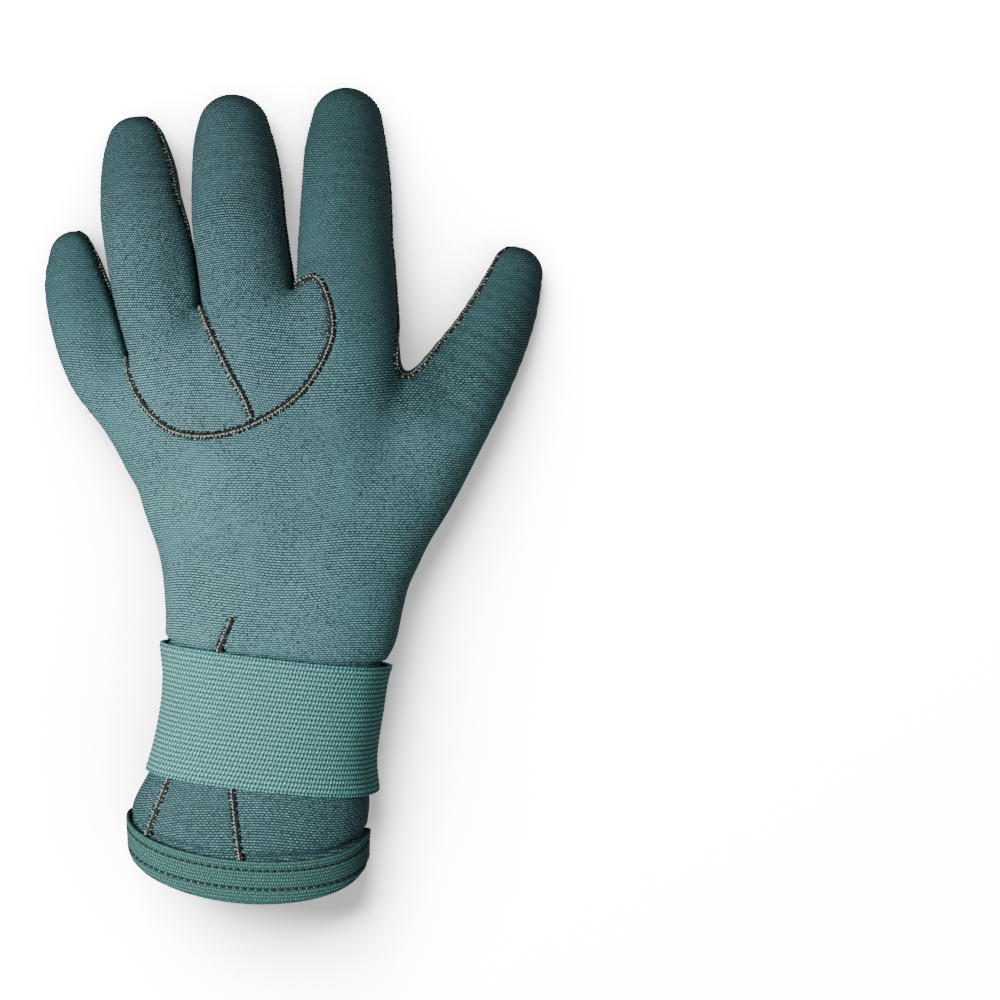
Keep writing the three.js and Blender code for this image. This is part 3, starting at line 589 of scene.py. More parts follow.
def ranged(tree, value, low, high, from_low, from_high):
    """Maps a value's range to another and holds it there."""
    return node(tree, "ShaderNodeMapRange",
                {0: value, 1: low, 2: high, 3: from_low, 4: from_high}).outputs[0]


def knit_pattern(tree, at, stitch_length, stitch_depth):
    """Rows of stitches laid like bricks, worked on all three planes and weighed by the way out."""
    _, drift = noise(tree, at, KNIT_DRIFT["scale"], 1.0)
    drift = scaled(tree, drift, KNIT_DRIFT["reach"])
    warped = node(tree, "ShaderNodeVectorMath", {0: at, 1: drift}, operation="ADD").outputs[0]
    x, y, z = node(tree, "ShaderNodeSeparateXYZ", {0: warped}).outputs
    normal = node(tree, "ShaderNodeNewGeometry").outputs["Normal"]
    weights = [maths(tree, "POWER", maths(tree, "ABSOLUTE", part), 3.0)
               for part in node(tree, "ShaderNodeSeparateXYZ", {0: normal}).outputs]
    whole = maths(tree, "ADD", maths(tree, "ADD", weights[0], weights[1]), weights[2])
    total = 0.0
    for (across, along), weight in zip(((z, y), (x, z), (x, y)), weights):
        row_number = maths(tree, "ROUND", maths(tree, "DIVIDE", along, KNIT_COURSE))
        shifted = maths(tree, "MULTIPLY_ADD", row_number, stitch_length / 2, across)
        columns = wave(tree, shifted, stitch_length)
        columns = maths(tree, "MULTIPLY_ADD", columns, stitch_depth, 1 - stitch_depth)
        rows = wave(tree, along, KNIT_COURSE)
        total = maths(tree, "MULTIPLY_ADD", maths(tree, "MULTIPLY", columns, rows), weight, total)
    return maths(tree, "DIVIDE", total, maths(tree, "MULTIPLY", whole, 1 - stitch_depth / 2))


def knit_material(name, dark, light, stitch_length=1.3, stitch_depth=0.6, stretched=FINGERS_FADE,
                  speckle=1.0, roughness=0.8):
    """A fine knit: small light stitches over a dark ground, smoother where a fingertip stretches it."""
    material, tree, shader = start_material(name, roughness)
    at = millimetres(tree)
    stitches = knit_pattern(tree, at, stitch_length, stitch_depth)
    grain, _ = noise(tree, at, 1.6, 3.0, 0.75)
    grain = ranged(tree, grain, 0.32, 0.68, 1 - speckle, 1 + speckle)
    blotches, _ = noise(tree, at, 0.09, 2.0)
    blotches = ranged(tree, blotches, 0.35, 0.65, 0.7, 1.3)
    up_the_hand = node(tree, "ShaderNodeSeparateXYZ", {0: at}).outputs[1]
    slack = maths(
        tree, "MULTIPLY",
        ranged(tree, up_the_hand, *stretched, KNIT_CONTRAST["hand"], KNIT_CONTRAST["fingers"]),
        ranged(tree, up_the_hand, *CUFF_FADE, KNIT_CONTRAST["cuff"], KNIT_CONTRAST["hand"]))
    contrast = maths(tree, "MULTIPLY", blotches, slack)
    lit = maths(tree, "MULTIPLY", stitches, grain)
    # Painted shade round the web between thumb and index finger
    from_web = node(tree, "ShaderNodeVectorMath", {0: at, 1: WEB_PAINTED_SHADE["at"]}, operation="DISTANCE")
    painted_web_shade = ranged(tree, from_web.outputs["Value"], WEB_PAINTED_SHADE["near"], WEB_PAINTED_SHADE["far"],
                    -WEB_PAINTED_SHADE["darker"], 0.0)
    # Darker up the fingers, partly painted shade and partly the stretched knit; painted shade on the cuff
    level = maths(tree, "ADD",
                  ranged(tree, up_the_hand, *FINGERS_FADE, KNIT_LEVEL["hand"], KNIT_LEVEL["fingers"]),
                  ranged(tree, up_the_hand, *CUFF_FADE, KNIT_LEVEL["cuff"], 0.0))
    level = maths(tree, "ADD", level, painted_web_shade)
    lit = maths(tree, "MULTIPLY_ADD", maths(tree, "SUBTRACT", lit, 0.5), contrast, level)
    lit = node(tree, "ShaderNodeClamp", {0: lit}).outputs[0]
    patches, _ = noise(tree, at, 0.035, 3.0)
    patches = ranged(tree, patches, 0.3, 0.7, 0.88, 1.1)
    shade = scaled(tree, mix_colours(tree, lit, dark, light), patches)
    tree.links.new(shade, shader.inputs["Base Color"])
    add_bump(tree, shader, lit, 0.14, 0.6)
    return material


def woven_material(name, dark, light, along, across, slant=0.0, rib_depth=1.0, bump=0.2):
    """Weave on a piece's own lengthwise and crosswise millimetres."""
    material, tree, shader = start_material(name, 0.8)
    place_uv = node(tree, "ShaderNodeUVMap", uv_map="weave").outputs[0]
    u, v, _ = node(tree, "ShaderNodeSeparateXYZ", {0: place_uv}).outputs
    at = node(tree, "ShaderNodeCombineXYZ", {0: u, 1: v}).outputs[0]
    wobble, _ = noise(tree, at, 0.25, 2.0)
    u = maths(tree, "MULTIPLY_ADD", wobble, 0.8, u)
    ribs_up = maths(tree, "DIVIDE", v, across)
    place_on_rib = maths(tree, "FRACT", ribs_up)
    rib_number = maths(tree, "FLOOR", ribs_up)
    shifted = maths(tree, "MULTIPLY_ADD", rib_number, along / 2, u)
    slanted = maths(tree, "MULTIPLY_ADD", place_on_rib, slant * across, shifted)
    picks = wave(tree, slanted, along)
    ribs = maths(tree, "POWER", maths(tree, "SUBTRACT", 1.0, wave(tree, v, across)), 0.6)
    ribs = maths(tree, "MULTIPLY_ADD", ribs, rib_depth, 1 - rib_depth)
    stitches = maths(tree, "MULTIPLY", maths(tree, "MULTIPLY_ADD", picks, 0.9, 0.1), ribs)
    grain, _ = noise(tree, at, 1.7, 2.0, 0.7)
    grain = ranged(tree, grain, 0.32, 0.68, 0.3, 1.7)
    lit = node(tree, "ShaderNodeClamp", {0: maths(tree, "MULTIPLY", stitches, grain)}).outputs[0]
    tree.links.new(mix_colours(tree, lit, dark, light), shader.inputs["Base Color"])
    add_bump(tree, shader, lit, bump, 0.8)
    return material


def thread_material(name, dark, light, roughness=0.6):
    material, tree, shader = start_material(name, roughness)
    at = millimetres(tree)
    fibres, _ = noise(tree, at, 2.2, 3.0, 0.7)
    tree.links.new(mix_colours(tree, fibres, dark, light), shader.inputs["Base Color"])
    add_bump(tree, shader, fibres, 0.12, 0.6)
    return material


KNIT = knit_material("neoprene_knit", srgb(18, 45, 48), srgb(105, 158, 163))
INSET_KNIT = knit_material("inset_knit", srgb(20, 46, 50), srgb(116, 164, 171), 0.85, 0.8,
                           (62.0, 100.0))
LINING = knit_material("lining_knit", srgb(18, 34, 38), srgb(48, 74, 80), speckle=0.3)
PALM_KNIT = knit_material("palm_knit", srgb(8, 52, 58), srgb(82, 156, 156), roughness=0.6)
FOAM = thread_material("foam_edge", srgb(14, 18, 19), srgb(34, 42, 43), 0.95)
DARK_THREAD = thread_material("dark_thread", srgb(5, 9, 9), srgb(30, 42, 38))
PALE_THREAD = thread_material("pale_thread", srgb(96, 110, 98), srgb(184, 196, 180))
ELASTIC = woven_material("elastic_weave", srgb(4, 32, 34), srgb(126, 210, 206), 1.05, RIB_PITCH, 0.5,
                         0.85)
HEM_KNIT = woven_material("hem_knit", srgb(3, 22, 22), srgb(88, 148, 141), 0.8, HEM_RIB_PITCH,
                          rib_depth=0.7, bump=0.12)
HOOK_TAPE = woven_material("hook_tape", srgb(12, 40, 42), srgb(60, 110, 110), 0.7, 0.7, 0.3)
PRINT = thread_material("raised_print", srgb(16, 88, 92), srgb(50, 132, 134), 0.22)


# Panels
SEAM_HALF_GAP = 0.12


def web_depth(points, out):
    """How far the back sinks in the web between thumb and index finger."""
    from_web = np.hypot(points[:, 0] - WEB_HOLLOW["x"], points[:, 1] - WEB_HOLLOW["y"])
    return WEB_HOLLOW["depth"] * np.exp(-(from_web / WEB_HOLLOW["reach"]) ** 2) * np.maximum(out[:, 2], 0)


def hem_height(angle):
    """The hem is deeper at the middle of the back and of the palm side."""
    return HEM["height"] + HEM["extra_at_middle"] * np.abs(np.sin(angle))


def edge_crease(points):
    """How far the knit is pinched in beside the upper edges of the strap and the hem."""
    strap_edge = STRAP["y"] + STRAP["slope"] * (points[:, 0] - WRIST_ROUND["x"]) + STRAP["width"] / 2
    angle = cuff_angle(points)
    hem_edge = cuff_end_y(angle, points[:, 0]) + hem_height(angle)
    beyond_strap = points[:, 1] - strap_edge - EDGE_CREASE["beyond"]
    beyond_hem = points[:, 1] - hem_edge - EDGE_CREASE["beyond"]
    from_edge = np.minimum(np.abs(beyond_strap), np.abs(beyond_hem))
    return EDGE_CREASE["depth"] * np.clip(1 - from_edge / EDGE_CREASE["reach"], 0, 1)


def wall_piece(name, rules, outside, replaced):
    """A panel: the outer skin where every rule is over zero, with its wall, lining and cut edge."""
    rows, triangles = skin_rows, skin_triangles
    for rule in rules:
        rows, triangles = clip(rows, triangles, rule(rows[:, :3]))
    points = rows[:, :3]
    out = unit(rows[:, 3:])
    seam_depth = SEAM_GROOVE["depth"] * seam_closeness(points) ** 2
    outer = close_clefts(points) - out * np.maximum(seam_depth, edge_crease(points))[:, None]
    outer[:, 2] -= web_depth(points, out)
    inner = points - out * WALL
    edges = border_edges(triangles)
    count = len(points)
    rim = np.concatenate([
        np.column_stack([edges[:, 1], edges[:, 0], edges[:, 0] + count]),
        np.column_stack([edges[:, 1], edges[:, 0] + count, edges[:, 1] + count]),
    ])
    faces = np.concatenate([triangles, triangles[:, ::-1] + count, rim])
    kinds = np.repeat([0, 1, 2], [len(triangles), len(triangles), len(rim)])
    piece = make_piece(name, np.concatenate([outer, inner]), faces, [outside, LINING, FOAM], kinds,
                       replaces=[replaced])


def within_cuff(points):
    return points[:, 1] - cuff_end_y(cuff_angle(points), points[:, 0]) - HEM["thickness"]


def inset_side(points):
    """Over zero on the two insets."""
    return outline_distance(points, INSET_OUTLINE)


def ring_side(points):
    """Over zero on the ring finger's side of the parting between the insets."""
    return outline_distance(points, RING_OUTLINE)


def inside_of(side):
    """A panel's rule: over zero where the side's field is, less half of the gap at a seam."""
    return lambda points: side(points) - SEAM_HALF_GAP


def outside_of(side):
    """A panel's rule: over zero where the side's field is under it, less half of the gap at a seam."""
    return lambda points: -side(points) - SEAM_HALF_GAP


on_back = outside_of(palm_side)
wall_piece("back_shell", [within_cuff, on_back, outside_of(inset_side), outside_of(gusset_side)],
           KNIT, "back_panel")
wall_piece("ring_back", [on_back, inside_of(inset_side), inside_of(ring_side)], INSET_KNIT,
           "ring_back_panel")
wall_piece("middle_back", [on_back, inside_of(inset_side), outside_of(ring_side)],
           INSET_KNIT, "middle_back_panel")
wall_piece("palm_shell", [within_cuff, inside_of(palm_side)], PALM_KNIT, "palm_panel")
wall_piece("cuff_wedge", [within_cuff, on_back, inside_of(gusset_side)], KNIT,
           "cuff_gusset")


# Seams
THREAD = {"core": 0.9, "core_drop": 0.65, "core_shift": 0.3, "rung": 0.27, "reach": 1.5, "rise": 0.34,
          "arch": 0.8, "spine": 0.26, "spine_shift": 0.15, "step": 0.5}
SPINE_WAVER = {"across": 0.25, "up": 0.2, "thickness": 0.35}
# Start and end across the seam, place along it, thickness and kind of each set of stitches
STITCH_SETS = ((-1.0, 1.0, 0.0, 1.3, 0), (0.4, 1.0, 0.33, 0.75, 1), (0.2, 1.1, 0.66, 1.0, 0),
               (-0.95, -0.6, 0.5, 0.6, 1))
UNEVEN = {"place": 0.2, "length": (0.75, 1.1), "lean": (-0.4, 0.9), "thickness": (0.8, 1.2)}
FLOOR_CLEARANCE = 0.02


def lengths_along(path):
    return np.concatenate([[0], np.cumsum(np.linalg.norm(np.diff(path, axis=0), axis=1))])


def at_lengths(wanted, path, rows):
    """The rows that go with a path's points, at these lengths along the path."""
    lengths = lengths_along(path)
    return np.stack([np.interp(wanted, lengths, column) for column in rows.T], axis=-1)


def resampled(path, pitch):
    whole = lengths_along(path)[-1]
    count = max(int(whole / pitch), 2)
    return at_lengths(np.linspace(0, whole, count + 1), path, path)


def eased(path, rounds):
    for _ in range(rounds):
        path = np.concatenate([path[:1], (path[:-2] + 2 * path[1:-1] + path[2:]) / 4, path[-1:]])
    return path


def on_top(line):
    """A plan line laid on the back of the glove."""
    line = resampled(np.asarray(line, float)[:, :2], 0.8)
    heights = np.arange(46.0, 8.0, -0.25)
    columns = np.column_stack([line.repeat(len(heights), 0), np.tile(heights, len(line))])
    inside = parted_distance(columns).reshape(len(line), -1) < 0
    first = np.argmax(inside, axis=1)
    found = inside.any(axis=1)
    return eased(np.column_stack([line[found], heights[first[found]] + 0.1]), 3)


def contours(vertices, triangles, values):
    """The lines of a mesh where the values are zero, as rows of points."""
    positive = values > 0
    state = positive[triangles].sum(axis=1)
    cut = triangles[(state == 1) | (state == 2)]
    edges = np.sort(np.stack([cut, np.roll(cut, -1, axis=1)], axis=-1), axis=-1)
    crossed = positive[edges[..., 0]] != positive[edges[..., 1]]
    flat = edges[crossed].reshape(-1, 2)
    unique, which = np.unique(flat, axis=0, return_inverse=True)
    pairs = which.reshape(-1, 2)
    v0, v1 = values[unique[:, 0]], values[unique[:, 1]]
    t = (v0 / (v0 - v1))[:, None]
    points = vertices[unique[:, 0]] * (1 - t) + vertices[unique[:, 1]] * t
    neighbours = {}
    for a, b in pairs.tolist():
        neighbours.setdefault(a, []).append(b)
        neighbours.setdefault(b, []).append(a)
    lines = []
    unused = set(neighbours)
    while unused:
        start = min(unused)
        chain = []
        onward = [start]
        while onward:
            here = onward[0]
            unused.discard(here)
            chain.append(here)
            onward = [other for other in neighbours[here] if other in unused]
        closed = start in neighbours[here] and len(chain) > 2
        lines.append(points[chain + [start] if closed else chain])
    return lines


def ring_tubes(paths, side, up, radius, sides=6):
    """Tubes along many short paths at once. Paths are (n, k, 3), side and up (n, 1, 3) or (n, k, 3)."""
    count, length, _ = paths.shape
    angles = np.arange(sides) * 2 * math.pi / sides
    radius = np.broadcast_to(radius, (count, length))[..., None, None]
    rings = (paths[:, :, None] + radius * (np.cos(angles)[:, None] * side[:, :, None]
                                           + np.sin(angles)[:, None] * up[:, :, None]))
    k = np.arange(sides)
    after = (k + 1) % sides
    faces = np.concatenate([np.column_stack([k, after, after + sides, k + sides]) + j * sides
                            for j in range(length - 1)])
    starts = np.arange(count) * length * sides
    quads = (faces[None] + starts[:, None, None]).reshape(-1, 4).tolist()
    for first in starts.tolist():
        last = first + (length - 1) * sides
        quads.append(list(range(first, first + sides))[::-1])
        quads.append(list(range(last, last + sides)))
    return rings.reshape(-1, 3), quads


def joined_parts(parts):
    """Vertices, faces and kinds of several meshes, each given as points, faces and a kind."""
    vertices, faces, kinds = [], [], []
    start = 0
    for points, quads, kind in parts:
        vertices.append(points)
        faces += [[start + i for i in quad] for quad in quads]
        kinds += [kind] * len(quads)
        start += len(points)
    return np.concatenate(vertices), faces, kinds


def above_floor(points):
    return np.maximum(points, (-np.inf, -np.inf, FLOOR_CLEARANCE))


def seam_pieces(name, path, tick_side=1.0):
    """A sewn seam: a dark roll in the groove under rungs, a pale thread along it and ticks to one side."""
    random = np.random.default_rng(len(path))
    step = THREAD["step"]
    fine = resampled(path, step)
    out = way_out(fine)
    along = unit(np.gradient(fine, axis=0))
    across = unit(np.cross(along, out))
    toward = across * tick_side
    surface = close_clefts(fine)
    surface[:, 2] -= web_depth(fine, out)
    core = surface - out * THREAD["core_drop"] - toward * THREAD["core_shift"]
    waver = np.sin(2 * math.pi * step * np.arange(len(fine)) / STITCH_PITCH)[:, None]
    spine = (surface + toward * (THREAD["spine_shift"] + SPINE_WAVER["across"] * waver)
             + out * (THREAD["rise"] + SPINE_WAVER["up"] * waver))
    thickness = THREAD["spine"] * (1 + SPINE_WAVER["thickness"] * waver[:, 0])
    parts = [(*ring_tubes(core[None], -across[None], out[None], THREAD["core"]), 0),
             (*ring_tubes(spine[None], -across[None], out[None], thickness[None], 5), 1)]
    for start, end, shift, thick, kind in STITCH_SETS:
        places = np.arange(shift, len(fine) * step / STITCH_PITCH - 1)
        places += random.uniform(-UNEVEN["place"], UNEVEN["place"], len(places))
        at = np.clip((places * STITCH_PITCH / step).round().astype(int), 0, len(fine) - 1)
        share = np.linspace(start, end, 5) * random.uniform(*UNEVEN["length"], (len(at), 1))
        rise = THREAD["rise"] - THREAD["arch"] * share ** 2
        lean = random.uniform(*UNEVEN["lean"], (len(at), 1))
        radius = THREAD["rung"] * thick * random.uniform(*UNEVEN["thickness"], (len(at), 1))
        stitches = (surface[at][:, None] + toward[at][:, None] * (THREAD["reach"] * share)[..., None]
                    + along[at][:, None] * (THREAD["reach"] * lean * share)[..., None]
                    + out[at][:, None] * rise[..., None])
        sides = (along[at] * tick_side)[:, None]
        parts.append((*ring_tubes(stitches, sides, out[at][:, None], radius, 5), kind))
    vertices, faces, kinds = joined_parts(parts)
    make_piece(name, above_floor(vertices), faces, [DARK_THREAD, PALE_THREAD], kinds)


palm_lines = contours(skin, skin_triangles, palm_side(skin))
for number, line in enumerate(sorted(palm_lines, key=len, reverse=True)):
    if len(line) > 60:
        seam_pieces(f"palm_seam_{number}", eased(line, 6))
seam_pieces("inset_seam", on_top(INSET_LINE), tick_side=-1.0)
parting_inside = PARTING_LINE[inset_side(PARTING_LINE) > 0.5]
seam_pieces("parting_seam", on_top(parting_inside))


def cuff_top(line):
    """The part of a seam on the back that lies in front of the hem."""
    path = on_top(line)
    angle = cuff_angle(path)
    hem_top = cuff_end_y(angle, path[:, 0]) + hem_height(angle)
    return path[path[:, 1] > hem_top - 0.5]


seam_pieces("gusset_seam_left", cuff_top([GUSSET["tail"], GUSSET["apex"], GUSSET["left"]]))
seam_pieces("gusset_seam_right", cuff_top([GUSSET["apex"], GUSSET["right"]]))


# The strap, the patch between its laps, the cuff's side seam and the hem
def points_round(centre, degrees, levels, y_at):
    """Points round the arm where the field has these levels, found by halving. A rule gives y from x."""
    angle = np.radians(degrees)
    direction_x = centre["half_width"] * np.cos(angle)
    direction_z = centre["half_height"] * np.sin(angle)
    near = np.full(np.shape(degrees), 0.1)
    far = np.full(np.shape(degrees), 2.0)
    for _ in range(20):
        middle = (near + far) / 2
        x = centre["x"] + direction_x * middle
        z = centre["z"] + direction_z * middle
        inside = glove_distance(np.column_stack([x, y_at(x), z])) < levels
        near = np.where(inside, middle, near)
        far = np.where(inside, far, middle)
    x = centre["x"] + direction_x * far
    return np.column_stack([x, y_at(x), centre["z"] + direction_z * far])


def grid_faces(rows, columns, closed=False):
    """Quads of a grid of points, rows by columns. A closed grid wraps round both ways."""
    row = np.arange(rows if closed else rows - 1)[:, None]
    column = np.arange(columns if closed else columns - 1)[None]
    here = row * columns
    above = (row + 1) % rows * columns
    after = (column + 1) % columns
    return np.stack([here + column, above + column, above + after, here + after], axis=-1).reshape(-1, 4)


SIDE_SEAM_ANGLE = 196.0


def side_seam():
    """The seam down the little finger's side of the cuff, from the palm's edge to the hem."""
    end = cuff_end_y(math.pi, CUFF_ROUND["x"] - CUFF_ROUND["half_width"]) + HEM["height"] * 0.9
    down_the_cuff = np.arange(WRIST_SEAM[1][1] - 1.5, end, -1.0)
    degrees = np.full(len(down_the_cuff), SIDE_SEAM_ANGLE)
    path = points_round(WRIST_ROUND, degrees, 0.0, lambda _: down_the_cuff)
    seam_pieces("side_seam", path)


side_seam()


def strap_point(degrees, across, levels):
    def y_at(x):
        return STRAP["y"] + STRAP["slope"] * (x - WRIST_ROUND["x"]) + across
    return points_round(WRIST_ROUND, degrees, levels, y_at)


LAP_OFFSET = STRAP["thickness"] + PATCH["thickness"] + 3 * PIECE_GAP


def strap_offset(degrees):
    ramp_start, ramp_end = STRAP["ramp"]
    ramp = (ramp_start - degrees) / (ramp_start - ramp_end)
    return PIECE_GAP + (LAP_OFFSET - PIECE_GAP) * smooth_step(ramp)


def band_piece(name, angles, width, offset, thickness, rows, relief, material, replaced):
    """A woven band round the wrist. The relief is its outer face's height at places across it."""
    across = np.linspace(-width / 2, width / 2, rows)
    degrees = np.repeat(angles, rows)
    acrosses = np.tile(across, len(angles))
    low = offset(degrees)
    outer = strap_point(degrees, acrosses, low + thickness + relief(acrosses))
    inner = strap_point(degrees, acrosses, low)
    middle = outer.reshape(len(angles), rows, 3)[:, rows // 2]
    uv = np.column_stack([np.repeat(lengths_along(middle), rows), acrosses])
    quads = grid_faces(len(angles), rows)
    count = len(outer)
    last_row = count - rows
    ring = np.concatenate([np.arange(rows), rows * np.arange(1, len(angles)) + rows - 1,
                           last_row + np.arange(rows - 1)[::-1], rows * np.arange(len(angles) - 2, 0, -1)])
    after = np.roll(ring, -1)
    rim = np.column_stack([ring, after, after + count, ring + count])
    faces = np.concatenate([quads, quads[:, ::-1] + count, rim])
    make_piece(name, np.concatenate([outer, inner]), faces, [material],
               uv=np.concatenate([uv, uv]), replaces=[replaced])


RIB = {"height": 0.32, "roundness": 0.7, "edge": 0.6, "edge_drop": 0.25}


def ribs(across):
    from_edge = np.abs(np.abs(across) - STRAP["width"] / 2)
    humps = np.abs(np.sin(math.pi * across / RIB_PITCH)) ** RIB["roundness"]
    bumps = RIB["height"] * humps - RIB["height"] / 2
    return np.where(from_edge < RIB["edge"], -RIB["edge_drop"] * (1 - from_edge / RIB["edge"]), 0) + bumps


def patch_offset(degrees):
    return np.full(len(degrees), STRAP["thickness"] + 2 * PIECE_GAP)


def patch_relief(across):
    return 0.1 * np.sin(across * 4)


strap_angles = np.linspace(STRAP["end"], STRAP["start"], STRAP_GRID["angles"])
band_piece("ribbed_strap", strap_angles, STRAP["width"], strap_offset, STRAP["thickness"],
           STRAP_GRID["rows"], ribs, ELASTIC, "wrist_strap")
patch_angles = np.linspace(PATCH["end"], PATCH["start"], 40)
band_piece("lap_patch", patch_angles, PATCH["width"], patch_offset, PATCH["thickness"], 24, patch_relief,
           HOOK_TAPE, "hook_patch")


def hem_point(degrees, back, levels):
    """Points on the hem, this far up the arm from the cuff's end."""
    def y_at(x):
        return cuff_end_y(np.radians(degrees), x) + back
    return points_round(CUFF_ROUND, degrees, levels, y_at)


HEM_OUTSIDE = PIECE_GAP + HEM["outer_slack"]
HEM_INSIDE = -WALL - PIECE_GAP
HEM_ROWS = (2.7, 8.4)
HEM_FOLD = 1.6
HEM_FURROW = {"depth": 0.4, "reach": 0.55}
HEM_RIB_HEIGHT = 0.07


def hem_profile():
    """Rows of level, share of the hem's height and a distance to add to it, all round the tape."""
    top = HEM_OUTSIDE + HEM["thickness"]
    low = HEM_INSIDE - HEM["thickness"]
    rows = [(HEM_OUTSIDE, share, 0.0) for share in (0.4, 0.7, 1.0)]
    rows += [(top - 0.25, 1.0, 0.0)]
    rows += [(top, share, 0.0) for share in np.linspace(0.97, 0.14, HEM_GRID["rows"])]
    middle = (top + low) / 2
    half = (top - low) / 2
    for t in np.cos(np.linspace(0.25, math.pi - 0.25, 9)):
        rows.append((middle + half * t, 0.0, HEM_FOLD * (1 - (1 - abs(t) ** 2.5) ** 0.4)))
    rows += [(low, share, 0.0) for share in (0.2, 0.4, 0.6, 0.8, 1.0)]
    rows += [(HEM_INSIDE, share, 0.0) for share in (1.0, 0.7, 0.4)]
    return rows


def hem_piece():
    degrees = np.arange(0, 360, HEM_GRID["degrees"])
    height = hem_height(np.radians(degrees))
    profile = hem_profile()
    vertices, uv = [], []
    for level, share, extra in profile:
        back = share * height + extra
        from_top = height - back
        if level > HEM_OUTSIDE + 0.9:
            sunk = sum(np.exp(-((from_top - row) / HEM_FURROW["reach"]) ** 2) for row in HEM_ROWS)
            level = (level - HEM_FURROW["depth"] * sunk
                     - HEM_RIB_HEIGHT * np.cos(from_top * 2 * math.pi / HEM_RIB_PITCH))
        points = hem_point(degrees, back, level)
        vertices.append(points)
        uv.append(np.column_stack([lengths_along(points), from_top]))
    faces = grid_faces(len(profile), len(degrees), closed=True)[:, ::-1]
    make_piece("hem_tape", np.concatenate(vertices), faces, [HEM_KNIT], uv=np.concatenate(uv),
               replaces=["hem_band"])


hem_piece()

HEM_STITCH = {"dash": 1.5, "gap": 0.7, "radius": 0.3, "level": HEM_OUTSIDE + HEM["thickness"] - 0.2}
TAB_STITCH = {"dash": 2.1, "gap": 0.9, "radius": 0.26, "rise": 0.12}
DASH_REACH = np.array([0.0, 0.15, 0.5, 0.85, 1.0])
DASH_RISE = np.array([-0.3, 0.0, 0.12, 0.0, -0.3])


def running_stitches(name, stitch, path, further):
    """Dark dashes along a path of points on a surface. The further path lies straight out from it."""
    starts = np.arange(stitch["gap"] / 2, lengths_along(path)[-1] - stitch["dash"],
                       stitch["dash"] + stitch["gap"])
    at = starts[:, None] + stitch["dash"] * DASH_REACH
    points = at_lengths(at, path, path)
    away = unit(at_lengths(at, path, unit(further - path)))
    along = unit(np.gradient(points, axis=1))
    across = unit(np.cross(away, along))
    points = points + away * DASH_RISE[:, None]
    vertices, faces = ring_tubes(points, across, away, stitch["radius"])
    make_piece(name, above_floor(vertices), faces, [DARK_THREAD])


for number, from_top in enumerate(HEM_ROWS):
    stitch_degrees = np.arange(0, 361, 1.5)
    stitch_back = hem_height(np.radians(stitch_degrees)) - from_top
    hem_path, hem_further = (hem_point(stitch_degrees, stitch_back, HEM_STITCH["level"] + rise)
                             for rise in (0, 1))
    running_stitches(f"hem_stitches_{number}", HEM_STITCH, hem_path, hem_further)


def strap_line(name, degrees, across):
    """Running stitches on the strap's outer lap."""
    degrees, across = np.broadcast_arrays(np.asarray(degrees, float), np.asarray(across, float))
    level = strap_offset(degrees) + STRAP["thickness"] + TAB_STITCH["rise"]
    path, further = (strap_point(degrees, across, level + rise) for rise in (0, 1))
    running_stitches(name, TAB_STITCH, path, further)


TAB_BOX = {"near_end": -144.0, "far_end": -66.0, "edge": 3.2}
box_edge = STRAP["width"] / 2 - TAB_BOX["edge"]
box_degrees = np.linspace(TAB_BOX["near_end"], TAB_BOX["far_end"], 60)
strap_line("tab_stitches_top", box_degrees, box_edge)
strap_line("tab_stitches_low", box_degrees, -box_edge)
box_across = np.linspace(-box_edge, box_edge, 30)
strap_line("tab_stitches_end", TAB_BOX["near_end"], box_across)
strap_line("tab_stitches_inner", TAB_BOX["far_end"], box_across)


# The palm's raised print: meander strokes in diagonal rows
PRINT_CELL = 1.05
PRINT_PITCH = 7.0
PRINT_HEIGHT = 0.28
PRINT_SUNK = 0.3
PRINT_MARGIN = 2.6
PRINT_CLEARANCE = {"top": 0.03, "foot": 0.15}
MOTIFS_EACH_WAY = 26
PALM_AREA = {"half_width": 84, "low": -50, "high": 130}
MOTIF = ("11111", "10000", "11111", "00001", "11111")
CORNERS = ((0, 0), (1, 0), (1, 1), (0, 1))


def under_side(points):
    """The glove's underside at places in plan, the way out there, and where there is one."""
    step = 0.3
    high = np.zeros(len(points))
    found = np.zeros(len(points), bool)
    for height in np.arange(-0.5, 26.0, step):
        inside = parted_distance(np.column_stack([points, np.full(len(points), height)])) < 0
        high = np.where(found, high, height)
        found |= inside
    low = high - step
    for _ in range(6):
        middle = (low + high) / 2
        inside = parted_distance(np.column_stack([points, middle])) < 0
        high = np.where(inside, middle, high)
        low = np.where(inside, low, middle)
    surface = np.column_stack([points, high])
    return surface, way_out(surface), found


def turned(right, up):
    """A place on the print's own grid, turned by an eighth of a turn."""
    return np.array([right - up, right + up]) * math.sqrt(0.5)


def print_cells():
    """The print's cells: the numbers of their motif, and their row and column in it."""
    motifs = range(-MOTIFS_EACH_WAY, MOTIFS_EACH_WAY + 1)
    cells = []
    for i in motifs:
        for j in motifs:
            x, y = turned(i, j) * PRINT_PITCH
            if abs(x) <= PALM_AREA["half_width"] and PALM_AREA["low"] < y < PALM_AREA["high"]:
                cells += [(i, j, row, column) for row, line in enumerate(MOTIF)
                          for column, mark in enumerate(line) if mark == "1"]
    return cells


def cell_corners(i, j, row, column):
    return [(i, j, row + up, column + right) for up, right in CORNERS]


